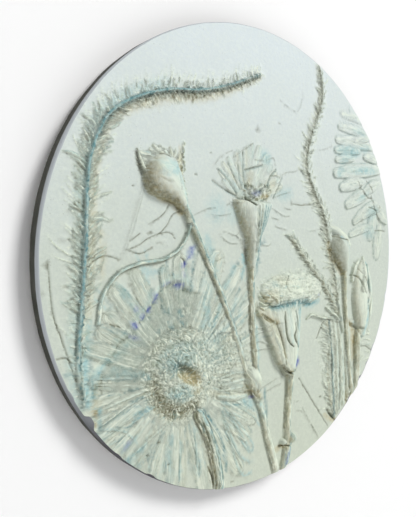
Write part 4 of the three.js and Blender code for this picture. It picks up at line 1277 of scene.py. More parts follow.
@dataclass
class LeafyBud:
    """The bud in its bracts at the right rim."""

    stalk: Flat = (90, -88, 90, -66, 89.6, -54, 92, -45)
    body: Flat = (93.4, -50, 93.4, -41, 92.8, -28, 93, -14, 95, -6)
    # Bracts: route, half widths, rise.
    bracts: tuple[Row, ...] = (((93, -22, 96.4, -13, 95.4, -2), (3, 3.2, 2.2, 0.8), (4.6, 3.6, 2.4, 1)),
        ((98, -34, 102, -22, 100, -7), (2, 2.4, 1.8, 0.8), (4, 3.2, 2, 1)),
        ((97, -48, 102, -37, 104.4, -28), (2, 2.4, 1.2), (3.4, 3.2, 1.6)),
        ((84.8, -16, 87, -9, 92, -3.6), (1.6, 2.4, 1), (1.6, 2.2, 0.9)))
    # Creases: route, half widths, depth.
    creases: tuple[Row, ...] = (((83, -13, 88, -14, 91, -17, 92, -21, 95.4, -24.6), 0.6, (1, 1.8, 1.6, 0.8)),
        ((87, -5, 90, -9.6, 93, -12), 0.4, (0.7, 1.2, 0.6)), ((94.6, -14.6, 96.4, -18), 0.6, 1.2),
        ((97, -28, 97.4, -33), 0.6, 1), ((80, -41.6, 85, -45, 92, -47.4), (0.8, 1.4, 1), (1, 2.2, 1.4)),
        ((88, -46, 92, -56, 95, -59.6, 100, -60.2, 106.6, -64), 0.55, (0.8, 1, 1.2, 1.4)))
    seed: int = 75

    def press(self, clay: Clay) -> None:
        """Presses the bracts and the bud into the clay.

        Args:
            clay: The clay to press it into.
        """
        stalk = clay.lay(self.stalk, (3.4, 3, 2.6, 2.6), (2.2, 2.6, 3.2, 3.6), STALK, self.seed)
        # The umber on the stalk's left flank is painted shade.
        stalk.tint((OCHRE_AND_SHADE, 0.3, 0.6, 0.6), (UMBER_AND_SHADE, 0.8, 0.2, 0.5), (BLUE, -0.6, 0.4, 0.5))
        body = clay.lay(self.body, (4, 7, 8.4, 7, 3), (4, 4.8, 4.6, 3.2, 1.4),
            Form(2.4, 0.6, 0, 3, 0.16, 0.2, 1, 0.25), self.seed + 9)
        # The umber and ochre on the body's left flank are painted shade.
        body.tint((PALE_AND_HIGHLIGHT, -0.1, 0.8, 0.8), (OCHRE_AND_SHADE, 0.7, 0.3, 0.4), (UMBER_AND_SHADE, 0.93, 0.1, 0.4),
            (TEAL, -0.9, 0.12, 0.7))
        for i, (route, wide, rise) in enumerate(self.bracts):
            bract = clay.lay(route, wide, rise, BLADE, self.seed + i)
            # The umber on each bract's left edge is painted shade.
            bract.tint((PALE_AND_HIGHLIGHT, 0, 0.7, 0.8), (UMBER_AND_SHADE, 0.93, 0.1, 0.35), (BLUE, -0.8, 0.2, 0.6))
        for route, wide, depth in self.creases:
            clay.cut(route, wide, 0.7 * np.asarray(depth), 0.5)
        clay.brush((OCHRE_AND_SHADE, (82, -42, 86, -48, 86, -58, 86, -66), (2, 3, 2.6), (0.8, 0.9, 0.7, 0.5)),
            (BLUE, (99, -6, 99.4, -16, 101, -24), (1, 1.4, 1), (0.9, 0.9, 0.5)),
            (BLUE, (97, -30, 97, -40, 94, -48, 91, -56), 2, (0.7, 0.7, 0.5)))


@dataclass
class LobedFrond:
    """The thin lobed leaf at the upper right rim. Each lobe is a tip, a root, a half width and a rise."""

    lobes: tuple[Flat, ...] = ((74, 87, 96, 84, 3.2, 0.5), (72, 79, 98, 76, 3.6, 0.7),
        (70, 71, 104, 68.6, 4, 0.8), (68.6, 64.4, 90, 65, 3.2, 0.9), (69.4, 58.6, 84, 60, 3, 1),
        (69, 50.4, 112, 54.6, 4.8, 1.1), (74.6, 42, 93, 46, 4.6, 1.1), (80, 31.6, 100, 39, 4.6, 1.1),
        (87, 21, 107, 33, 3.8, 1), (83, 12.6, 104, 18, 3, 0.8), (97, 40, 110, 46, 4, 1.3),
        (103, 11, 106, 27, 4.6, 0.8), (110, -1, 112, 17, 5, 0.8), (108, 29, 119, 21, 4, 1),
        (86, 71.6, 100, 74, 3, 1.1), (97, 62, 110, 60, 3.2, 0.9), (94, 24, 112, 30, 3, 1.2))
    # Patches: x, z, half length, half width, degrees, amount.
    patches: tuple[Row, ...] = ((80, 64, 15, 5, 0, 0.75), (95, 67, 8, 3, 0, 0.6), (75, 58, 5, 2.6, 0, 0.7),
        (72, 51, 5, 3.4, 40, 0.7), (96, 53, 15, 3, 3, 0.8), (90, 77, 9, 3, -6, 0.4), (103, 26, 8, 6, 30, 0.5),
        (101, 14, 7, 6, 0, 0.4), (93, 36, 8, 2.6, 28, 0.5), (86, 53, 14, 3, 5, 0.35))
    seed: int = 81

    def press(self, clay: Clay) -> None:
        """Presses the lobes into the clay, each with its midrib and a thin dark outline.

        Args:
            clay: The clay to press it into.
        """
        for i, (x1, z1, x2, z2, wide, rise) in enumerate(self.lobes):
            form = Form(5, 0.3, 0.2, 1.5, 0.08, 0.1, 0.8, 0.35)
            lobe = clay.lay((x2, z2, (x1 + x2) / 2, (z1 + z2) / 2 + 0.6, x1, z1),
                (wide * 0.6, wide, wide, wide * 0.7), (1.4 * rise, 1.4 * rise, 1.1 * rise), form,
                self.seed + i, 0.3)
            lobe.tint((UMBER_AND_SHADE, 0.93, 0.10, 0.15, -1, 2, 0.7), (TEAL, -0.93, 0.12, 0.5, -1, 2, 0.5),
                (TEAL, 0.93, 0.10, 0.4, -1, 2, 0.5), (PALE_AND_HIGHLIGHT, 0, 0.5, 0.6))
            clay.thread((x2, z2, (x1 + x2) / 2, (z1 + z2) / 2 + 0.8, x1 + 1, z1), 0.35, 0.3, 0.3, TEAL)
        for route in ((112, 32, 106, 28, 98, 24, 88, 20), (106, 28, 104, 38, 99, 48),
                (88, 48, 90, 44, 92.6, 42), (92, 45, 95, 40, 96, 36)):
            clay.thread(route, 0.6, 0.6, 0.6)
        for route in ((100, 30, 105, 28.6, 112, 22), (107, 14.8, 113, 15, 119, 14.6),
                (88, 48, 90, 44, 92.6, 42), (96, 38, 99, 36, 104, 36)):
            clay.cut(route, 0.4, (0.4, 0.8, 0.5), 0.7)
        for x, z, long, wide, turn, amount in self.patches:
            clay.dab((BLUE, (x, z, long, wide, turn), amount))


@dataclass
class LowSpike:
    """The feathery spike and the folded blades at the lower right."""

    route: Flat = (68, -101, 66.5, -82, 65, -62, 62, -38)
    # Blades: route, half widths, rise.
    blades: tuple[Row, ...] = (
        ((72, -98, 71, -75, 69, -50, 66, -34), (1.4, 2.2, 2, 0.8), (1.1, 1.1, 1.3, 0.8)),
        ((77, -94, 76, -75, 74, -55, 71, -40), (1.6, 2.4, 2.2, 0.8), (1.2, 1, 1.2, 0.8)),
        ((81, -90, 80, -75, 78.4, -60), (1.2, 1.4, 0.8), (1.6, 1.2, 1)),
        ((70, -27, 73, -38, 76, -48), (1.2, 1.7, 1), (2, 2.4, 1.6)),
        ((60, -32, 66, -36, 73, -41), (0.8, 1.2, 0.7), (1.8, 2.4, 1.6)),
        ((43, -37, 47, -35, 56, -37.6, 66, -39), (0.7, 1.1, 0.9, 0.6), (1.4, 2.2, 1.8, 1.2)),
        ((60, -44, 63, -56, 63, -70), (1.2, 1.4, 0.8), (1.2, 1.2, 0.8)),
        ((81, -88, 84, -84, 86, -72), (1.4, 1.4, 0.8), (1.6, 1.6, 1)),
        ((73, -96, 74, -84, 73.4, -70), (0.9, 1, 0.6), (1.6, 1.6, 1.2)))
    sprigs: tuple[Sprig, ...] = (Sprig(1, 3, (7, 10, 10, 7), 56, 1.2, 0.6, 0, 1, 0.3, 0.1, 0.05),
        Sprig(1, 3, (5, 6, 6), 40, 1.4, 0.7, 0, 1, 0.3, 0.1, 0.1),
        Sprig(-1, 2.6, (4, 5, 4), 44, 1.1, 0.8, 0, 1, 0.6, 0.1, 0.1))
    fringes: tuple[Fringe, ...] = (Fringe(1, 2.6, (7, 9, 9, 6), (66, 62, 56), 18, 0.5, 0.45, 0.3),
        Fringe(1, 2.4, (6, 10, 10, 7), (80, 70, 60), 30, 0.45, 0.4, 0.35),
        Fringe(-1, 2.4, (4, 4, 3), (50, 46), 10, 0.5, 0.7, 0.3),
        Fringe(1, 2.8, (12, 13, 12, 9), (60, 56), 20, 0.45, 0.4, 0.3))
    # Strokes: wash, route, half widths, amounts.
    strokes: tuple[Row, ...] = (
        (OCHRE_AND_SHADE, (60, -40, 63.6, -50, 62, -64, 63, -82, 65, -92), 1.4, (0.4, 0.2, 0.6)),
        (UMBER_AND_SHADE, (59, -38, 64, -40, 72, -42), 0.7, 0.8), (UMBER_AND_SHADE, (45, -37.6, 49, -35.6, 56, -38.4), 0.6, 0.7),
        (UMBER_AND_SHADE, (61, -84, 64, -92), 0.9, 0.6), (UMBER_AND_SHADE, (69, -98, 70.4, -80, 68.6, -55), 0.5, 0.4),
        (OCHRE_AND_SHADE, (60, -98, 65, -101.4, 69, -103), 1.8, 0.8), (OCHRE_AND_SHADE, (80, -94, 81, -84), 2, 0.5))
    seed: int = 91

    def press(self, clay: Clay) -> None:
        """Presses the spike and the blades into the clay.

        Args:
            clay: The clay to press it into.
        """
        rng = np.random.default_rng(self.seed)
        clay.ridge(self.route, (4, 5, 5, 4), (0.6, 0.6, 0.6, 0.5), 1.4)
        for i, (route, wide, rise) in enumerate(self.blades):
            blade = clay.lay(route, wide, rise, LEAFLET, self.seed + i)
            blade.tint((UMBER_AND_SHADE, 0.93, 0.12, 0.15), (OCHRE_AND_SHADE, 0.7, 0.3, 0.15), (BLUE, -0.4, 0.4, 0.4),
                (PALE_AND_HIGHLIGHT, 0, 0.9, 1))
        for sprig in self.sprigs:
            clay.sprigs(self.route, sprig, rng)
        fur = Layer(clay.half, clay.pitch)
        for fringe in self.fringes:
            clay.comb(self.route, fringe, rng, fur)
        clay.comb((90, -86, 88, -60, 84, -40), Fringe(-1, 1.8, (6, 8, 5), (66, 60), 10, 0.38, 0.7, 0.4), rng,
            fur)
        clay.comb((106, -68, 104, -50, 102, -38), Fringe(1, 2, (7, 7), (70, 60), 10, 0.38, 0.7, 0.4), rng,
            fur)
        clay.fur(fur)
        stem = clay.lay(self.route, (1.3, 1.1, 1, 0.8), (2, 2, 2, 1.6),
            Form(fibre=0.6, fibre_size=1.3), self.seed)
        stem.tint((BLUE, -0.2, 0.8, 0.9), (TEAL, 0.5, 0.4, 0.8))
        clay.cut((62, -95, 65, -98.6, 69.4, -102.6), (0.6, 1.1, 0.9), (1, 2, 1.6), 0.9)
        clay.cut((79, -91.6, 81.4, -93), 0.8, 1.2, 0.9)
        clay.brush(*self.strokes)


@dataclass
class GroundMarks:
    """What lies on the ground between the plants: threads, scratches, cracks, specks and dabs."""

    scratches: tuple[Flat, ...] = ((-120, 2, -118, -20, -114, -32, -110, -44, -107, -52),
        (-80, 6, -74, 8, -68, 11.4, -61, 13.6, -55.5, 13.8, -52.6, 11), (-99, 1, -94, 3, -90, 3.2, -85, 1.6),
        (-68, 18, -60, 22.6, -56, 28), (-65, 11.4, -58, 17, -54, 22.8, -48, 25), (-81, 6, -73, 4, -66, 7),
        (-79, 10, -73, 13.6), (-117, -41, -112, -41, -109, -44), (46, 30.2, 38, 29.8, 30, 30.4),
        (-50, 2.4, -47.6, -0.6, -48.8, -5), (-90, -28, -84, -30.2), (58, -40, 52, -50),
        (36.8, -71.8, 49.8, -88.8, 63.4, -105.8))
    hairs: tuple[Flat, ...] = ((-71, 38, -77.6, 18, -84, 2), (-69.4, 38, -76, 18, -82.6, 2),
        (38, 14.6, 48, 15.4, 56, 16.6), (52, 63, 60, 65, 66, 67.4), (-108, 12, -114, 11),
        (33, -85, 38, -84.6), (34, -90, 40, -91.6, 43, -95), (44, -97, 50, -104, 54, -109),
        (17, 90, 34, 84, 40, 96), (-22, -82, -12, -98, -1, -107), (-20, -93, -10, -108, 3, -116),
        (-24, -80, -12, -85, 3, -93), (-22, -88, -14, -104, -6, -118), (-66, 9, -60, 9.6, -56, 6))
    # Nicks: x, z, size, amount.
    nicks: tuple[Row, ...] = ((-67.4, 14, 0.8, 1), (-39.6, 43.4, 0.7, 0.8), (-122.4, -12.6, 0.7, 0.8),
        (2.6, 70, 0.5, 0.6), (55.6, -86, 0.7, 0.6), (-63.6, -88.6, 0.7, 0.8), (-57.6, -101, 0.5, 0.6),
        (-70, -93.6, 0.6, 0.6), (-15, -120.6, 0.7, 0.6), (-77, 36, 0.5, 0.7), (-30, 55, 0.4, 0.5),
        (20, 75, 0.4, 0.5))
    # Blots: x, z, half length, half width, degrees, amount.
    blots: tuple[Row, ...] = ((-43, 4, 5, 1.5, 52, 0.8), (-47.6, -2, 2.4, 1.3, 60, 0.9),
        (-48.4, -7, 2.6, 1, 80, 0.6), (-50.6, -12.2, 3.2, 1.5, -6, 1), (-58, -11, 4, 1, 20, 0.4),
        (-64.6, -17.6, 3, 1.5, 55, 0.9), (-68.6, -23, 2, 1.5, 60, 0.9), (-76, -22, 2, 1.4, 60, 0.6),
        (-72.4, -26, 2.4, 1.5, 50, 0.7), (-76.4, -30, 3, 1.8, -20, 0.9), (-77.6, -35.6, 3, 1.2, -25, 0.6),
        (-81, -86, 4, 1.4, 40, 0.35))
    # Strokes: wash, route, half widths, amounts.
    strokes: tuple[Row, ...] = ((BLUE, (-86, -10, -80, -18, -74, -27), 1.4, 0.5),
        (BLUE, (-72, -3, -64, -5, -60, -4), 1.8, 0.5), (BLUE, (-32, 12, -30, 4, -28, -6), 3, 0.5),
        (BLUE, (-8, 2, -6.4, -3, -9, -11), 1.4, 0.9), (BLUE, (-14, -4, -17, -10, -21, -15), 1.8, 0.6),
        (BLUE, (-31, -14, -34, -24, -36, -34), 2.8, 0.5), (TEAL, (-57, -20, -56.4, -28, -54, -34), 1.3, 0.7),
        (TEAL, (-50, -22, -49.6, -34), 0.9, 0.6), (BLUE, (-46, -4, -43, -16), 1.8, 0.5),
        (BLUE, (-24, -24, -29, -34), 1.6, 0.6), (BLUE, (-12, -22, -17, -29), 1.6, 0.5),
        (BLUE, (-96, -53, -84, -52.6, -70, -55), 2, 0.6),
        (TEAL, (-88, -54.4, -78, -55.4, -68, -56.4), 0.8, 0.7),
        (TEAL, (-92, -61, -82, -61, -72, -60), 0.7, 0.7), (TEAL, (-80, -66, -72, -64.4), 0.9, 0.8),
        (BLUE, (-77, -72.6, -68, -70.6), 1.6, 0.9), (TEAL, (-88, -76, -82, -77.6, -76, -76), 0.6, 0.7),
        (BLUE, (-82, -94, -76, -91, -71, -88), 1.5, 0.8), (TEAL, (-60, -84, -66, -90, -70, -96), 0.5, 0.6),
        (BLUE, (-84, -88, -76, -83), 1.5, 0.5), (BLUE, (-50, -92, -51, -110), 0.8, 0.6),
        (BLUE, (-58, -98, -55, -86), 1.2, 0.6), (BLUE, (-39.6, -100, -39, -112), 1.2, 0.4),
        (BLUE, (-96, -64, -96, -69), 1.5, 0.9), (BLUE, (-95.6, -73, -95.6, -77), 1.3, 0.7),
        (BLUE, (2, -38, 3.6, -56), 1.6, 0.6), (BLUE, (-6, -78, 4, -82, 6, -88), 3.4, 0.6),
        (TEAL, (9, -74, 10, -84, 10, -94), 1, 0.8), (TEAL, (-24, -74.6, -14, -78.4, -4, -79), 0.6, 0.7),
        (OCHRE_AND_SHADE, (-97.6, -55, -98, -64, -98, -74), 1.2, 1), (OCHRE_AND_SHADE, (0, -72.6, 5, -77), 2, 0.9),
        (OCHRE_AND_SHADE, (-94, 14, -93, 4, -94, -6), 2.6, 0.35), (UMBER_AND_SHADE, (-1.4, -72.8, 1, -73), 1, 0.9),
        (UMBER_AND_SHADE, (2, -79.6, 7, -79), 0.9, 0.9), (ULTRAMARINE, (-3, -76, -1, -76.4), 1.2, 0.6))
    hatches: int = 13
    specks: int = 60
    rays: int = 44
    seed: int = 101

    def press(self, clay: Clay) -> None:
        """Marks the ground.

        Args:
            clay: The clay to press it into.
        """
        rng = np.random.default_rng(self.seed)
        x, z = clay.axis[None, :], clay.axis[:, None]
        hills = 0.14 * cloud(x, z, 38, self.seed) + 0.06 * cloud(x, z, 11, self.seed + 1)
        clay.rise += hills + 0.05 * cloud(x, 3 * z, 6, self.seed + 2)
        for route in self.scratches:
            clay.cut(route, 0.36, (0.3, 0.5, 0.5, 0.3), 0.8)
            clay.thread(beside(route, 0.8), 0.42, 0.3)
        for route in self.hairs:
            clay.thread(route, 0.42, 0.45, 0.35)
        for i in range(self.hatches):
            x1, z1 = i * 1.1, 1.6 * i
            clay.thread((40 + x1, -90 - z1, 40.8 + x1, -90.5 - z1, 41.6 + x1, -91.6 - z1), 0.5, 0.5, 0.4)
        for x1, z1, size, amount in self.nicks:
            clay.cut((x1 - size, z1, x1 + size, z1), size * 0.8, 0.5, amount)
        for _ in range(self.specks):
            turn, out = rng.uniform(0, 2 * math.pi), 120 * math.sqrt(rng.uniform())
            clay.dab((UMBER_AND_SHADE, (out * math.cos(turn), out * math.sin(turn), 0.5, 0.4, 0),
                rng.uniform(0.15, 0.6)))
        self.paint(clay, rng)

    def paint(self, clay: Clay, rng: np.random.Generator) -> None:
        """Brushes and dabs the colours that belong to no one plant.

        Args:
            clay: The clay to paint.
            rng: Source of the unevenness.
        """
        for x1, z1, long, wide, turn, amount in self.blots:
            clay.dab((ULTRAMARINE, (x1, z1, long * 1.15, wide * 1.2, turn), amount),
                (BLUE, (x1, z1, long * 1.5, wide * 1.9, turn), amount * 0.35))
        edge = (-76, -34, -88, -41.6, -97, -49, -99.6, -60)
        clay.brush((PALE_AND_HIGHLIGHT, edge, (3.2, 3.6, 3.4, 2.6), (0.6, 0.9, 0.9, 0.7)),
            (BLUE, beside(edge, 1.2), (2.2, 2.6, 2.6, 2), (0.4, 0.6, 0.8, 0.7)),
            (OCHRE_AND_SHADE, beside(edge, 3.4), 0.7, (0.5, 0.6, 0.6)))
        clay.brush(*self.strokes)
        for _ in range(self.rays):
            degrees, out = rng.uniform(0, 360), rng.uniform(26, 60)
            turn = math.radians(degrees)
            ways = (-50, math.cos(turn)), (-58, math.sin(turn))
            route = [middle + k * way for k in (out, out + 9) for middle, way in ways]
            clay.brush((TEAL if rng.uniform() < 0.4 else BLUE, route, rng.uniform(0.4, 1.1),
                rng.uniform(0.25, 0.6)))


# ---------------------------------------------------------------- the casting

@dataclass
class Casting:
    """The plaque itself: a disc with a relief face, a shoulder, a side wall and a back.

    Lengths are millimetres. A thin spot is a direction, the cosine from it at which the shoulder
    starts to thin, over how much more it thins, and by what share. A wear is the direction, depth
    and length of a nick in the edge. Each back_edge is an inset and a depth.
    """

    radius: float
    ground: float = 8.5
    side: float = 6.6
    face_radius: float = 123.8
    thin_radius: float = 124.5
    rim_fade: float = 3.0
    rim_keep: float = 0.45
    cells: int = 1024
    sectors: int = 480
    face_triangles: int = 178_000
    seed: int = 7
    rim_weight: float = 8.0
    wash_weight: float = 0.2
    deepest: float = 1.2
    shoulder_steps: tuple[float, ...] = (0.25, 0.5, 0.75, 1.0)
    wall_depths: tuple[float, ...] = (5.4, 3.9, 2.4, 1.1)
    back_edge: tuple[tuple[float, float], ...] = ((0.4, 0.35), (1.1, 0.04))
    back_radii: tuple[float, ...] = (121, 116, 108, 99, 88, 76, 62, 47, 31, 15)
    thin_spots: tuple[tuple[float, float, float, float], ...] = ((262, 0.62, 0.2, 1.0), (88, 0.3, 0.4, 0.7))
    wear: tuple[tuple[float, float, float], ...] = ((215.4, 2.2, 7), (237, 0.7, 5), (347, 0.8, 4),
        (339, 0.5, 4), (319, 1.6, 6), (330, 0.9, 7), (313, 0.9, 5), (324.6, 0.7, 3), (226.5, 0.4, 4),
        (208, 0.4, 5))

    def edge(self, angle: np.ndarray) -> np.ndarray:
        """Radius at which the face ends: a circle, less the nicks and a slight waviness.

        Args:
            angle: Directions from the centre, in radians.

        Returns:
            One radius for each direction.
        """
        x, z = np.cos(angle) * self.radius, np.sin(angle) * self.radius
        worn = 0.10 * cloud(x, z, 9.0, self.seed) + 0.08 * cloud(x, z, 2.6, self.seed + 1)
        for degrees, depth, length in self.wear:
            away = angle - math.radians(degrees)
            distance = self.radius * np.arctan2(np.sin(away), np.cos(away))
            worn = worn + depth * np.exp(-((2 * distance / length) ** 4))
        thin = np.zeros_like(angle)
        for degrees, start, over, share in self.thin_spots:
            thin = np.maximum(thin, share * smooth((np.cos(angle - math.radians(degrees)) - start) / over))
        return self.face_radius + (self.thin_radius - self.face_radius) * thin - worn

    def knots(self) -> tuple[np.ndarray, np.ndarray]:
        """Spreads the knots of a square grid over the round face: square rings become circles.

        Returns:
            The radius share and the angle of each knot.
        """
        u = np.linspace(-1.0, 1.0, self.cells + 1)[None, :].repeat(self.cells + 1, 0)
        v = u.T
        ring = np.maximum(np.abs(u), np.abs(v))
        safe = np.where(ring == 0, 1.0, ring)
        angle = np.where(u == ring, math.pi / 4 * v / safe, 0.0)
        angle = np.where(-u == ring, math.pi - math.pi / 4 * v / safe, angle)
        angle = np.where((v == ring) & (np.abs(u) < ring), math.pi / 2 - math.pi / 4 * u / safe, angle)
        angle = np.where((-v == ring) & (np.abs(u) < ring), -math.pi / 2 + math.pi / 4 * u / safe, angle)
        return ring, angle

    @staticmethod
    def sample(clay: Clay, image: np.ndarray, x: np.ndarray, z: np.ndarray) -> np.ndarray:
        """Reads a raster between its values, straight across and straight up.

        Args:
            clay: The clay, for its size and pitch.
            image: The raster to read.
            x: Places across.
            z: Places up.

        Returns:
            One value for each place.
        """
        u, v = (x + clay.half) / clay.pitch, (z + clay.half) / clay.pitch
        column, row = np.floor(u).astype(np.int32), np.floor(v).astype(np.int32)
        a, b = (u - column).astype(np.float32), (v - row).astype(np.float32)
        return ((image[row, column] * (1 - a) + image[row, column + 1] * a) * (1 - b)
                + (image[row + 1, column] * (1 - a) + image[row + 1, column + 1] * a) * b)

    def judge(self, fields: Sequence[tuple[np.ndarray, float, bool]]) -> np.ndarray:
        """Finds how much each knot of the grid matters.

        A knot's own error is how far it lies from the middle of the two knots that it would be
        put between. It takes over the errors of the knots that depend on it, so a mesh of all
        knots over any limit has no gaps.

        Args:
            fields: Each a value per knot, its weight, and whether it counts on the rim only.

        Returns:
            One error per knot.
        """
        n = self.cells
        pad = n // 2
        errors = np.zeros((2 * n + 1, 2 * n + 1), np.float32)

        def keep(rows: np.ndarray, columns: np.ndarray, step: tuple[int, int | np.ndarray],
                 children: Sequence[tuple[int, int]]) -> None:
            """Works out one family of knots and writes it into the errors.

            Args:
                rows: Their rows.
                columns: Their columns.
                step: Rows and columns from each to the two knots it lies between.
                children: Rows and columns to the knots that depend on it.
            """
            r, c = rows[:, None], columns[None, :]
            own = np.zeros((len(rows), len(columns)), np.float32)
            rim = (r == 0) | (r == n) | (c == 0) | (c == n)
            for values, weight, rim_only in fields:
                ends = values[r - step[0], c - step[1]] + values[r + step[0], c + step[1]]
                away = np.abs(values[r, c] - 0.5 * ends)
                own = np.maximum(own, weight * away * (rim if rim_only else 1.0))
            for dr, dc in children:
                own = np.maximum(own, errors[r + dr + pad, c + dc + pad])
            errors[r + pad, c + pad] = own

        half = 1
        while half < n:
            quarter = half // 2
            corners = [(-quarter, -quarter), (quarter, -quarter), (-quarter, quarter), (quarter, quarter)]
            odd, even = np.arange(half, n, 2 * half), np.arange(0, n + 1, 2 * half)
            keep(even, odd, (0, half), corners if half > 1 else [])
            keep(odd, even, (half, 0), corners if half > 1 else [])
            parity = ((odd[:, None] + odd[None, :] - 2 * half) // (2 * half)) % 2
            keep(odd, odd, (half, np.where(parity == 0, half, -half)),
                [(-half, 0), (half, 0), (0, -half), (0, half)])
            half *= 2
        return errors[pad:pad + n + 1, pad:pad + n + 1]

    def split(self, errors: np.ndarray) -> np.ndarray:
        """Halves triangles until only those under the limit are left.

        The limit is the error at which the budget is just met: each inner knot over it adds two
        triangles, and each rim knot adds one.

        Args:
            errors: One error per knot.

        Returns:
            Rows of three knot numbers, counter-clockwise as seen from the front.
        """
        n = self.cells
        gain = np.full(errors.shape, 2)
        gain[[0, -1], :] = 1
        gain[:, [0, -1]] = 1
        order = np.argsort(-errors, axis=None)
        added = np.cumsum(gain.ravel()[order])
        limit = errors.ravel()[order[min(np.searchsorted(added, self.face_triangles), len(order) - 1)]]
        a = np.array([[0, 0], [n, n]])
        b = np.array([[n, n], [0, 0]])
        c = np.array([[0, n], [n, 0]])
        done = []
        while len(a):
            whole = ((a + b) % 2 == 0).all(axis=1)
            middle = (a + b) // 2
            cut = whole & (errors[middle[:, 0], middle[:, 1]] > limit)
            done.append(np.stack([a[~cut], b[~cut], c[~cut]], axis=1))
            a, b, c, middle = a[cut], b[cut], c[cut], middle[cut]
            a, b, c = np.vstack([c, b]), np.vstack([a, c]), np.vstack([middle, middle])
        corners = np.vstack(done)
        return corners[..., 0] * (n + 1) + corners[..., 1]

    def cast(self, clay: Clay) -> bpy.types.Object:
        """Casts the clay into one closed mesh.

        Args:
            clay: The finished relief and washes.

        Returns:
            The plaque, at the origin, in metres, with its masks as point attributes.
        """
        n = self.cells
        ring, angle = self.knots()
        edge = self.edge(angle)
        radius = ring * edge
        x, z = radius * np.cos(angle), radius * np.sin(angle)
        fade = self.rim_keep + (1 - self.rim_keep) * smooth((edge - radius) / self.rim_fade)
        rise = self.sample(clay, clay.rise, x, z) * fade
        masks = {wash.value: self.sample(clay, clay.washes[wash], x, z) for wash in Wash}
        fields = [(rise, 1.0, False)]
        fields += [(places.astype(np.float32), self.rim_weight, True) for places in (x, z)]
        fields += [(masks[wash.value], self.wash_weight, False) for wash in Wash if wash is not PALE_AND_HIGHLIGHT]
        triangles = self.split(self.judge(fields))
        for name, image in (("rough", clay.rough), ("across", clay.across), ("along", clay.along)):
            masks[name] = self.sample(clay, image, x, z)
        used, faces = np.unique(triangles, return_inverse=True)
        faces = faces.reshape(-1, 3)
        front = np.stack([x.ravel()[used], -self.ground - rise.ravel()[used], z.ravel()[used]], axis=1)

        line = np.arange(n)
        border = np.concatenate([line, line * (n + 1) + n, (n + 1) * n + n - line, (n - line) * (n + 1)])
        rim = np.flatnonzero(np.isin(used, border))
        turn = np.arctan2(front[rim, 2], front[rim, 0]) % (2 * math.pi)
        rim, turn = rim[np.argsort(turn)], np.sort(turn)
        around = np.arange(self.sectors) * 2 * math.pi / self.sectors
        rings, kinds = self.outer_rings(around)
        start = len(used)
        index = np.arange(len(rings) * self.sectors).reshape(len(rings), self.sectors) + start
        ahead = np.roll(index, -1, axis=1)
        a, b, c, d = index[:-1], index[1:], ahead[1:], ahead[:-1]
        centre = start + len(rings) * self.sectors
        parts = [faces, self.zip_loops(rim, turn, index[0], around),
                 np.stack([np.stack([a, b, c], -1), np.stack([a, c, d], -1)], axis=2).reshape(-1, 3),
                 np.stack([index[-1], np.full(self.sectors, centre), np.roll(index[-1], -1)], axis=1)]
        slots = [np.zeros(len(faces)), np.ones(len(parts[1])), np.repeat(kinds[1:], 2 * self.sectors),
            np.full(self.sectors, 2)]
        vertices = np.vstack([front, rings.reshape(-1, 3), [[0.0, 0.0, 0.0]]])
        mesh = bpy.data.meshes.new("plaque_casting")
        mesh.from_pydata((vertices * MM).tolist(), [], np.vstack(parts).tolist())
        mesh.polygons.foreach_set("material_index", np.concatenate(slots).astype(np.int32))
        for name, values in masks.items():
            attribute = mesh.attributes.new(name, "FLOAT", "POINT")
            attribute.data.foreach_set("value",
                np.concatenate([values.ravel()[used], np.zeros(len(vertices) - start)]).astype(np.float32))
        mesh.shade_smooth()
        self.crease(mesh, rim)
        mesh.update()
        piece = bpy.data.objects.new("plaque_casting", mesh)
        bpy.context.scene.collection.objects.link(piece)
        LOG.info("%s: %d triangles", piece.name, len(mesh.polygons))
        return piece

    @staticmethod
    def crease(mesh: bpy.types.Mesh, rim: np.ndarray) -> None:
        """Keeps the edge between the face and the shoulder crisp.

        Args:
            mesh: The casting.
            rim: Numbers of the points where the face ends.
        """
        ends = np.zeros(len(mesh.edges) * 2, np.int32)
        mesh.edges.foreach_get("vertices", ends)
        sharp = np.isin(ends.reshape(-1, 2), rim).all(axis=1)
        mesh.attributes.new("sharp_edge", "BOOLEAN", "EDGE").data.foreach_set("value", sharp)

    def outer_rings(self, around: np.ndarray) -> tuple[np.ndarray, np.ndarray]:
        """Works out the rings from the shoulder down the side wall and over the back.

        Args:
            around: The directions of the rings' points, in radians.

        Returns:
            The points of each ring, and the material of each: 1 for the side, 2 for the back.
        """
        edge = self.edge(around)
        rings, kinds = [], []
        for share in self.shoulder_steps:
            out = edge + (self.radius - edge) * math.sin(share * math.pi / 2)
            down = self.ground - (self.ground - self.side) * (1 - math.cos(share * math.pi / 2))
            rings.append((out, down))
            kinds.append(1)
        x, z = np.cos(around) * self.radius, np.sin(around) * self.radius
        for depth in self.wall_depths:
            rings.append((self.radius - 0.16 - 0.12 * cloud(x, z + depth * 4, 5, self.seed + 3), depth))
            kinds.append(1)
        for inset, depth in self.back_edge:
            rings.append((self.radius - inset - 0.1 * cloud(x, z, 6, self.seed + 4), depth))
            kinds.append(2)
        for out in self.back_radii:
            px, pz = np.cos(around) * out, np.sin(around) * out
            hollow = 0.18 + 0.16 * cloud(px, pz, 17, self.seed + 5) + 0.06 * cloud(px, pz, 5, self.seed + 6)
            rings.append((np.full_like(around, out), np.clip(hollow, 0.0, 0.4)))
            kinds.append(2)
        across, up = np.cos(around), np.sin(around)
        points = [np.stack([out * across, -np.broadcast_to(down, around.shape), out * up], axis=1)
                  for out, down in rings]
        return np.stack(points), np.array(kinds, np.int32)

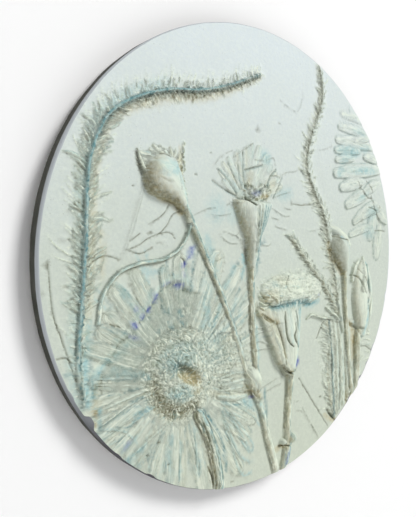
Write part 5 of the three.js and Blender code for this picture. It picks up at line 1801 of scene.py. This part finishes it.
    @staticmethod
    def zip_loops(first: np.ndarray, first_turn: np.ndarray, second: np.ndarray,
                  second_turn: np.ndarray) -> np.ndarray:
        """Joins two loops of different counts with triangles, in order of angle.

        Args:
            first: Point numbers of the inner loop, by angle.
            first_turn: Their angles, from 0.
            second: Point numbers of the outer loop, by angle.
            second_turn: Their angles, from 0.

        Returns:
            Rows of three point numbers.
        """
        turns = np.concatenate([first_turn, second_turn])
        inner = np.concatenate([np.ones(len(first), bool), np.zeros(len(second), bool)])
        inner = inner[np.argsort(turns, kind="stable")]
        i, j = np.cumsum(inner) - 1, np.cumsum(~inner) - 1
        before_i, before_j = np.roll(i, 1), np.roll(j, 1)
        before_i[0], before_j[0] = len(first) - 1, len(second) - 1
        ahead = np.where(inner, first[i], second[j])
        return np.stack([first[before_i], second[before_j], ahead], axis=1)


# ---------------------------------------------------------------- the finishes

def socket_group(name: str, inputs: dict[str, float], outputs: Sequence[str]) -> bpy.types.NodeTree:
    """Starts a shader node group with named number inputs and outputs.

    Args:
        name: The group's name.
        inputs: Input names and their defaults.
        outputs: Output names.

    Returns:
        The group, with its input and output nodes placed.
    """
    tree = bpy.data.node_groups.new(name, "ShaderNodeTree")
    for label, value in inputs.items():
        tree.interface.new_socket(label, in_out="INPUT", socket_type="NodeSocketFloat").default_value = value
    for label in outputs:
        tree.interface.new_socket(label, in_out="OUTPUT", socket_type="NodeSocketFloat")
    tree.nodes.new("NodeGroupInput").name = "in"
    tree.nodes.new("NodeGroupOutput").name = "out"
    return tree


@dataclass
class Wiring:
    """A small helper that adds and joins nodes in one tree."""

    tree: bpy.types.NodeTree

    def add(self, kind: str, fed: Mapping[int | str, object] | None = None,
            **settings: object) -> bpy.types.Node:
        """Adds a node, sets its properties and feeds its sockets.

        Args:
            kind: The node's type.
            fed: A socket or a value for each input, by its number or name.
            settings: The node's properties.

        Returns:
            The node.
        """
        node = self.tree.nodes.new(kind)
        for key, value in settings.items():
            setattr(node, key, value)
        for key, value in (fed or {}).items():
            self.feed(node.inputs[key], value)
        return node

    def feed(self, socket: bpy.types.NodeSocket, value: object) -> None:
        """Links a socket to another, or sets its value.

        Args:
            socket: The socket to feed.
            value: A socket, or a value.
        """
        if isinstance(value, bpy.types.NodeSocket):
            self.tree.links.new(value, socket)
        else:
            socket.default_value = value

    def math(self, operation: str, *values: object, clamped: bool = False) -> bpy.types.NodeSocket:
        """Adds a Math node fed by sockets or numbers, and returns its result."""
        fed = dict(enumerate(values))
        return self.add("ShaderNodeMath", fed, operation=operation, use_clamp=clamped).outputs[0]

    def read(self, name: str) -> bpy.types.NodeSocket:
        """Reads one of the casting's masks."""
        return self.add("ShaderNodeAttribute", attribute_name=name).outputs["Fac"]

    def place(self, scale: object = 1.0) -> bpy.types.NodeSocket:
        """Gives the place on the object, scaled."""
        fed = {0: self.add("ShaderNodeTexCoord").outputs["Object"], "Scale": scale}
        return self.add("ShaderNodeVectorMath", fed, operation="SCALE").outputs[0]

    def noise(self, vector: bpy.types.NodeSocket, scale: float, detail: float = 3.0,
              rough: float = 0.55) -> bpy.types.NodeSocket:
        """Adds a noise of about one blotch every 1/scale."""
        fed = {"Scale": scale, "Detail": detail, "Roughness": rough, "Vector": vector}
        return self.add("ShaderNodeTexNoise", fed).outputs["Fac"]

    def mix(self, amount: object, first: object, second: object) -> bpy.types.NodeSocket:
        """Mixes two colours."""
        return self.add("ShaderNodeMix", {0: amount, 6: first, 7: second}, data_type="RGBA").outputs[2]

    def ramp(self, factor: bpy.types.NodeSocket, low: float, high: float) -> bpy.types.NodeSocket:
        """Stretches a value so that low becomes 0 and high becomes 1."""
        return self.add("ShaderNodeMapRange", {"From Min": low, "From Max": high, "Value": factor}).outputs[0]

    def bump(self, height: bpy.types.NodeSocket, distance: float, strength: object,
             **under: bpy.types.NodeSocket) -> bpy.types.NodeSocket:
        """Adds a bump, on top of another's Normal if one is given, and returns its normal."""
        fed = {"Distance": distance, "Strength": strength, "Height": height, **under}
        return self.add("ShaderNodeBump", fed).outputs["Normal"]


Sockets = Mapping[str, bpy.types.NodeSocket]
Started = tuple[bpy.types.Material, Wiring, bpy.types.Node, Sockets, Sockets]


def plaster_grain() -> bpy.types.NodeTree:
    """Builds the grain shared by every plaster surface.

    Returns:
        A group that gives Height for a bump, Mottle for slow changes of tone and Pores as a mask.
    """
    tree = socket_group("plaster_grain", {"Scale": 1.0}, ("Height", "Mottle", "Pores"))
    w, out = Wiring(tree), tree.nodes["out"].inputs
    place = w.place(tree.nodes["in"].outputs["Scale"])
    cells = w.add("ShaderNodeTexVoronoi", {"Scale": 520.0, "Vector": place})
    pores = w.math("MULTIPLY", w.ramp(cells.outputs["Distance"], 0.16, 0.06),
        w.ramp(w.noise(place, 90.0, 1.0), 0.56, 0.66))
    height = w.math("MULTIPLY_ADD", w.noise(place, 620.0, 2.0, 0.5), 0.7,
        w.math("MULTIPLY", w.noise(place, 1900.0, 3.0, 0.6), 0.4))
    w.feed(out["Height"], w.math("SUBTRACT", height, w.math("MULTIPLY", pores, 0.8)))
    w.feed(out["Mottle"], w.noise(place, 46.0, 4.0, 0.6))
    w.feed(out["Pores"], pores)
    return tree


def brushed_mask() -> bpy.types.NodeTree:
    """Builds the uneven edge of a thin wash, shared by every painted surface.

    Returns:
        A group that takes a soft Mask and gives it back broken up by the brush.
    """
    tree = socket_group("brushed_mask", {"Mask": 0.0, "Size": 1.0, "Break": 0.5}, ("Mask",))
    w, given = Wiring(tree), tree.nodes["in"].outputs
    patches = w.math("SUBTRACT", w.noise(w.place(given["Size"]), 420.0, 3.0, 0.65), 0.5)
    broken = w.math("MULTIPLY_ADD", w.math("MULTIPLY", patches, given["Break"]), 3.6, 1.0)
    w.feed(tree.nodes["out"].inputs["Mask"], w.math("MULTIPLY", given["Mask"], broken, clamped=True))
    return tree


def rgb(red: int, green: int, blue: int) -> tuple[float, float, float, float]:
    """Turns a colour as seen on a screen, 0 to 255, into the linear values of a shader.

    Args:
        red: Red, from 0 to 255.
        green: Green, from 0 to 255.
        blue: Blue, from 0 to 255.

    Returns:
        Red, green, blue and an alpha of 1.
    """
    parts = [value / 255 for value in (red, green, blue)]
    linear = [v / 12.92 if v <= 0.04045 else ((v + 0.055) / 1.055) ** 2.4 for v in parts]
    return (*linear, 1.0)


def start_finish(name: str, grain: bpy.types.NodeTree, scale: float) -> Started:
    """Starts a material that has the grain of the plaster in it.

    Args:
        name: The material's name.
        grain: The plaster grain group.
        scale: How fine the grain is.

    Returns:
        The material, its wiring, its shader, the grain's outputs, and the place's X, Y and Z.
    """
    material = bpy.data.materials.new(name)
    material.use_nodes = True
    w = Wiring(material.node_tree)
    grains = w.add("ShaderNodeGroup", {"Scale": scale}, node_tree=grain)
    parts = w.add("ShaderNodeSeparateXYZ", {0: w.place()})
    return material, w, material.node_tree.nodes["Principled BSDF"], grains.outputs, parts.outputs


@dataclass(frozen=True)
class WashedPlaster:
    """The face: off-white plaster, bluer at the top and greener below, under thin washes.

    Each wash has its colour, how much it covers, how fine its broken edge is and how broken it is.
    """

    top: Colour = rgb(216, 226, 228)
    middle: Colour = rgb(200, 209, 199)
    foot: Colour = rgb(198, 206, 190)
    pale: Colour = rgb(243, 249, 230)
    sea: Colour = rgb(128, 176, 180)
    dark: Colour = rgb(116, 128, 104)
    pore: Colour = rgb(120, 116, 96)
    # The ochre and umber washes also hold painted shade, and the pale wash painted highlight.
    washes: tuple[tuple[Wash, Colour, float, float, float], ...] = (
        (PALE_AND_HIGHLIGHT, rgb(232, 242, 222), 0.85, 0.5, 0.4), (BLUE, rgb(146, 192, 196), 0.85, 1.0, 0.8),
        (OCHRE_AND_SHADE, rgb(184, 163, 100), 0.78, 1.2, 0.7), (TEAL, rgb(74, 128, 136), 0.85, 1.2, 0.7),
        (UMBER_AND_SHADE, rgb(86, 86, 60), 0.78, 1.4, 0.6), (ULTRAMARINE, rgb(82, 94, 170), 0.95, 1.2, 0.8))
    grain_bump: float = 0.0002
    fibre_bump: float = 0.0016

    def build(self, grain: bpy.types.NodeTree, brushed: bpy.types.NodeTree) -> bpy.types.Material:
        """Builds the material from the shared groups.

        Args:
            grain: The plaster grain group.
            brushed: The brushed mask group.

        Returns:
            The material.
        """
        material, w, shader, grains, place = start_finish("washed_plaster", grain, 1.0)
        wander = w.math("MULTIPLY_ADD", grains["Mottle"], 0.2,
            w.math("SUBTRACT", w.ramp(place["Z"], -0.12, 0.12), 0.1))
        base = w.mix(w.ramp(wander, 0.5, 1.0), w.mix(w.ramp(wander, 0.0, 0.5), self.foot, self.middle),
            self.top)
        for wash, colour, strength, size, broken in self.washes:
            fed = {"Mask": w.read(wash.value), "Size": size, "Break": broken}
            mask = w.add("ShaderNodeGroup", fed, node_tree=brushed)
            base = w.mix(w.math("MULTIPLY", mask.outputs["Mask"], strength), base, colour)
        rough = w.read("rough")
        weave = w.add("ShaderNodeCombineXYZ", {0: w.read("across"), 1: w.read("along")})
        fibres = w.noise(weave.outputs[0], 0.6, 4.0, 0.65)
        flecks = w.noise(weave.outputs[0], 0.5, 4.0, 0.7)
        for streaks, low, high, share, colour in ((fibres, 0.54, 0.61, 0.85, self.pale),
                (fibres, 0.47, 0.41, 0.46, self.dark), (flecks, 0.57, 0.66, 0.5, self.sea)):
            shown = w.math("MULTIPLY", w.math("MULTIPLY", w.ramp(streaks, low, high), rough), share)
            base = w.mix(shown, base, colour)
        base = w.mix(w.math("MULTIPLY", w.ramp(grains["Height"], 0.5, 0.66), 0.12), base, self.pale)
        base = w.mix(w.math("MULTIPLY", grains["Pores"], 0.3), base, self.pore)
        w.feed(shader.inputs["Base Color"], base)
        w.feed(shader.inputs["Roughness"], w.math("MULTIPLY_ADD", grains["Mottle"], 0.2, 0.66))
        shader.inputs["Specular IOR Level"].default_value = 0.35
        fine = w.bump(grains["Height"], self.grain_bump, 0.6)
        strength = w.math("MULTIPLY_ADD", rough, 0.85, 0.13)
        w.feed(shader.inputs["Normal"], w.bump(fibres, self.fibre_bump, strength, Normal=fine))
        return material


@dataclass(frozen=True)
class CharcoalEdge:
    """The side wall: charcoal paint, rubbed through to mauve-grey plaster on the shoulder, whose lower part
    is painted darker as shade.
    """

    paint: Colour = rgb(56, 58, 50)
    rubbed: Colour = rgb(94, 94, 88)
    shoulder: Colour = rgb(186, 192, 196)
    shaded_shoulder: Colour = rgb(88, 87, 92)
    shoulder_from: float = 0.0067
    bump: float = 0.00018

    def build(self, grain: bpy.types.NodeTree, brushed: bpy.types.NodeTree) -> bpy.types.Material:
        """Builds the material from the shared groups.

        Args:
            grain: The plaster grain group.
            brushed: The brushed mask group.

        Returns:
            The material.
        """
        material, w, shader, grains, place = start_finish("charcoal_edge", grain, 0.8)
        drift = w.math("MULTIPLY_ADD", w.math("SUBTRACT", grains["Mottle"], 0.5), 0.0012,
            w.math("MULTIPLY", place["Y"], -1.0))
        top = w.ramp(drift, self.shoulder_from - 0.0003, self.shoulder_from + 0.0003)
        rub = w.add("ShaderNodeGroup", {"Mask": 0.4, "Size": 0.35, "Break": 0.9}, node_tree=brushed)
        base = w.mix(rub.outputs["Mask"], self.paint, self.rubbed)
        # Towards the bottom the shoulder takes a darker colour: painted shade.
        low = w.ramp(place["Z"], -0.04, -0.085)
        base = w.mix(top, base, w.mix(low, self.shoulder, self.shaded_shoulder))
        w.feed(shader.inputs["Base Color"], base)
        w.feed(shader.inputs["Roughness"], w.math("MULTIPLY_ADD", rub.outputs["Mask"], 0.25, 0.6))
        shader.inputs["Specular IOR Level"].default_value = 0.15
        w.feed(shader.inputs["Normal"], w.bump(grains["Height"], self.bump, 0.7))
        return material


@dataclass(frozen=True)
class RawBack:
    """The back: bare plaster as it set, with smears of the side's charcoal at its edge."""

    plaster: Colour = rgb(214, 212, 202)
    dusty: Colour = rgb(190, 186, 172)
    smear: Colour = rgb(96, 94, 90)
    radius: float = 0.125
    bump: float = 0.0003

    def build(self, grain: bpy.types.NodeTree, brushed: bpy.types.NodeTree) -> bpy.types.Material:
        """Builds the material from the shared groups.

        Args:
            grain: The plaster grain group.
            brushed: The brushed mask group.

        Returns:
            The material.
        """
        material, w, shader, grains, place = start_finish("raw_plaster_back", grain, 0.6)
        squares = [w.math("MULTIPLY", place[axis], place[axis]) for axis in "XZ"]
        ragged = w.math("MULTIPLY_ADD", grains["Mottle"], 0.009,
            w.math("SQRT", w.math("ADD", *squares)))
        near = w.ramp(ragged, self.radius + 0.0005, self.radius + 0.0045)
        fed = {"Mask": grains["Mottle"], "Size": 0.15, "Break": 1.0}
        soil = w.add("ShaderNodeGroup", fed, node_tree=brushed)
        base = w.mix(soil.outputs["Mask"], self.plaster, self.dusty)
        base = w.mix(w.math("MULTIPLY", grains["Pores"], 0.6), base, self.smear)
        w.feed(shader.inputs["Base Color"], w.mix(near, base, self.smear))
        shader.inputs["Roughness"].default_value = 0.9
        w.feed(shader.inputs["Normal"], w.bump(grains["Height"], self.bump, 0.8))
        return material


# ---------------------------------------------------------------- the studio

@dataclass
class Studio:
    """A pale wall and floor, soft light from the upper right, and the camera at the left."""

    azimuth: float = -38.85
    elevation: float = 2.49
    distance: float = 0.350
    aside: float = 0.01947
    above: float = 0.00054
    lens: float = 43.68
    wall_gap: float = 0.003
    floor: float = -0.45
    wall_tone: float = 0.96
    floor_tone: float = 0.86
    key_place: tuple[float, float, float] = (1.08, -2.12, 1.86)
    key_size: float = 1.1
    key_power: float = 66.0
    key_colour: Colour = (1.0, 0.995, 0.985)
    air_colour: Colour = (0.97, 0.985, 1.0, 1.0)
    air_strength: float = 0.33

    def camera(self) -> None:
        """Places the camera so that the plaque stands where the eye sees it, a little off centre."""
        az, el = math.radians(self.azimuth), math.radians(self.elevation)
        back = Vector((math.sin(az) * math.cos(el), -math.cos(az) * math.cos(el), math.sin(el)))
        right = Vector((math.cos(az), math.sin(az), 0.0))
        up = right.cross(-back)
        data = bpy.data.cameras.new("camera")
        data.lens = self.lens
        data.sensor_width = 36.0
        data.clip_start = 0.01
        item = bpy.data.objects.new("camera", data)
        item.location = back * self.distance - right * self.aside - up * self.above
        item.rotation_euler = (-back).to_track_quat("-Z", "Y").to_euler()
        bpy.context.scene.collection.objects.link(item)
        bpy.context.scene.camera = item

    def light(self, name: str, place: Flat, size: float, power: float, colour: Flat) -> None:
        """Adds a square soft light that faces the plaque.

        Args:
            name: Its name.
            place: Where it stands.
            size: Its side.
            power: Its power in watts.
            colour: Its colour.
        """
        data = bpy.data.lights.new(name, "AREA")
        data.size, data.energy, data.color = size, power, colour
        item = bpy.data.objects.new(name, data)
        item.location = place
        item.rotation_euler = (-Vector(place)).to_track_quat("-Z", "Y").to_euler()
        bpy.context.scene.collection.objects.link(item)

    def backdrop(self) -> None:
        """Stands a white wall behind the plaque, unseen from its own back, and lays a pale floor."""
        wall = bpy.data.materials.new("wall_white")
        pale = bpy.data.materials.new("floor_pale")
        for material, tone in ((wall, self.wall_tone), (pale, self.floor_tone)):
            material.use_nodes = True
            shader = material.node_tree.nodes["Principled BSDF"]
            shader.inputs["Base Color"].default_value = (tone, tone, tone, 1.0)
            shader.inputs["Roughness"].default_value = 0.95
            shader.inputs["Specular IOR Level"].default_value = 0.0
        w = Wiring(wall.node_tree)
        mixer = w.add("ShaderNodeMixShader", {0: w.add("ShaderNodeNewGeometry").outputs["Backfacing"],
            1: wall.node_tree.nodes["Principled BSDF"].outputs[0],
            2: w.add("ShaderNodeBsdfTransparent").outputs[0]})
        w.feed(wall.node_tree.nodes["Material Output"].inputs["Surface"], mixer.outputs[0])
        gap, low = self.wall_gap, self.floor
        for name, corners, material in (
                ("stage_wall", ((-2, gap, low), (2.5, gap, low), (2.5, gap, 1.6), (-2, gap, 1.6)), wall),
                ("stage_floor", ((-2, -2, low), (2.5, -2, low), (2.5, 2, low), (-2, 2, low)), pale)):
            mesh = bpy.data.meshes.new(name)
            mesh.from_pydata(corners, [], [(0, 1, 2, 3)])
            mesh.materials.append(material)
            item = bpy.data.objects.new(name, mesh)
            bpy.context.scene.collection.objects.link(item)

    def build(self) -> None:
        """Sets up the wall, the floor and the light."""
        self.backdrop()
        self.light("key", self.key_place, self.key_size, self.key_power, self.key_colour)
        world = bpy.data.worlds.new("studio_air")
        world.use_nodes = True
        air = world.node_tree.nodes["Background"].inputs
        air["Color"].default_value, air["Strength"].default_value = self.air_colour, self.air_strength
        bpy.context.scene.world = world
        bpy.context.scene.view_settings.view_transform = "Standard"


@dataclass(frozen=True)
class Settling:
    """How thin colour runs into the hollows, and where shade and highlight are painted on the plants.

    The hollow of a place is how far it lies under the mean rise round it, and a crest lies as far
    over it. The shade side of a place is how steeply it faces down to the left, away from the light.
    Ochre and umber in the hollows are partly wash that pooled there and partly painted shade; the
    shade side takes painted shade in ochre and loses some blue and pale, and crests take pale as a
    painted highlight. Near a rough plant the ground takes some of the pale wash. A pair is where a
    measure starts to count, and over how many millimetres, or how much more slope, it comes to
    count in full.
    """

    hollow: float = 0.16
    crest: float = 0.22
    deep: tuple[float, float] = (0.2, 1.2)
    shade_side: tuple[float, float] = (0.2, 1.3)
    light: tuple[float, float] = (0.8, 0.6)
    patch: float = 6.0
    near: float = 0.4

    def settle(self, clay: Clay) -> None:
        """Lets the washes settle.

        Args:
            clay: The finished relief.
        """
        close = soften(clay.rise, 1)
        fine = clamp((close - clay.rise) / self.hollow)
        crest = clamp((clay.rise - soften(clay.rise, 2)) / self.crest)
        deep = clamp((soften(clay.rise, 6) - clay.rise - self.deep[0]) / self.deep[1])
        slope_z, slope_x = np.gradient(close, clay.pitch)
        # Slopes that face down to the left, away from the light, get painted shade.
        shade_side = clamp((self.light[0] * slope_x + self.light[1] * slope_z - self.shade_side[0]) / self.shade_side[1])
        wash, rough = clay.washes, clamp(clay.rough * 1.2)
        patches = 0.5 + 0.5 * cloud(clay.axis[None, :], clay.axis[:, None], self.patch, 5)
        # Painted shade: ochre gathers on the shade side and blue thins there; ochre, umber and teal in the
        # hollows are partly painted shade, partly pooled wash.
        shade_and_pooling = (0.2 * shade_side + 0.2 * fine * patches) * rough + 0.06 * deep
        wash[OCHRE_AND_SHADE] = clamp(wash[OCHRE_AND_SHADE] * (0.6 + 0.5 * shade_side + 0.5 * fine) + shade_and_pooling)
        wash[TEAL] = clamp(wash[TEAL] + 0.32 * fine * (1 - patches) * rough)
        wash[UMBER_AND_SHADE] = clamp(wash[UMBER_AND_SHADE] * (0.8 + 0.4 * fine) + 0.12 * fine * rough)
        wash[BLUE] = clamp(wash[BLUE] * (1 - 0.4 * shade_side))
        near = clamp(1.3 * soften(soften(clay.rough, 6), 4))
        # Crests take pale as painted highlight, and the shade side loses some of its pale.
        pale = np.maximum(np.maximum(wash[PALE_AND_HIGHLIGHT] * (1 - 0.6 * shade_side), crest * rough), self.near * near)
        wash[PALE_AND_HIGHLIGHT] = clamp(pale * (1 - 0.8 * fine))
        wash[ULTRAMARINE] = clamp(wash[ULTRAMARINE])


def main() -> None:
    """Builds the studio, presses the plants, casts the plaque and dresses it."""
    logging.basicConfig(level=logging.INFO, format="%(message)s")
    studio = Studio()
    studio.camera()
    studio.build()
    low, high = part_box("plaque")
    clay = Clay()
    for plant in (Daisy(), LobedFrond(), LowSpike(), Bottlebrush(), RightSpike(), GrassEar(), RoundBud(),
                  FanFlower(), ThistleHead(), RightBud(), LeafyBud(), GroundMarks()):
        plant.press(clay)
        LOG.info("pressed %s", type(plant).__name__)
    casting = Casting((high.x - low.x) / 2 / MM)
    clay.rise = np.maximum(clay.rise, -casting.deepest)
    Settling().settle(clay)
    plaque = casting.cast(clay)
    grain, brushed = plaster_grain(), brushed_mask()
    for finish in (WashedPlaster(), CharcoalEdge(), RawBack()):
        plaque.data.materials.append(finish.build(grain, brushed))
    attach(plaque, "root")
    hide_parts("plaque")


if __name__ == "__main__":
    main()
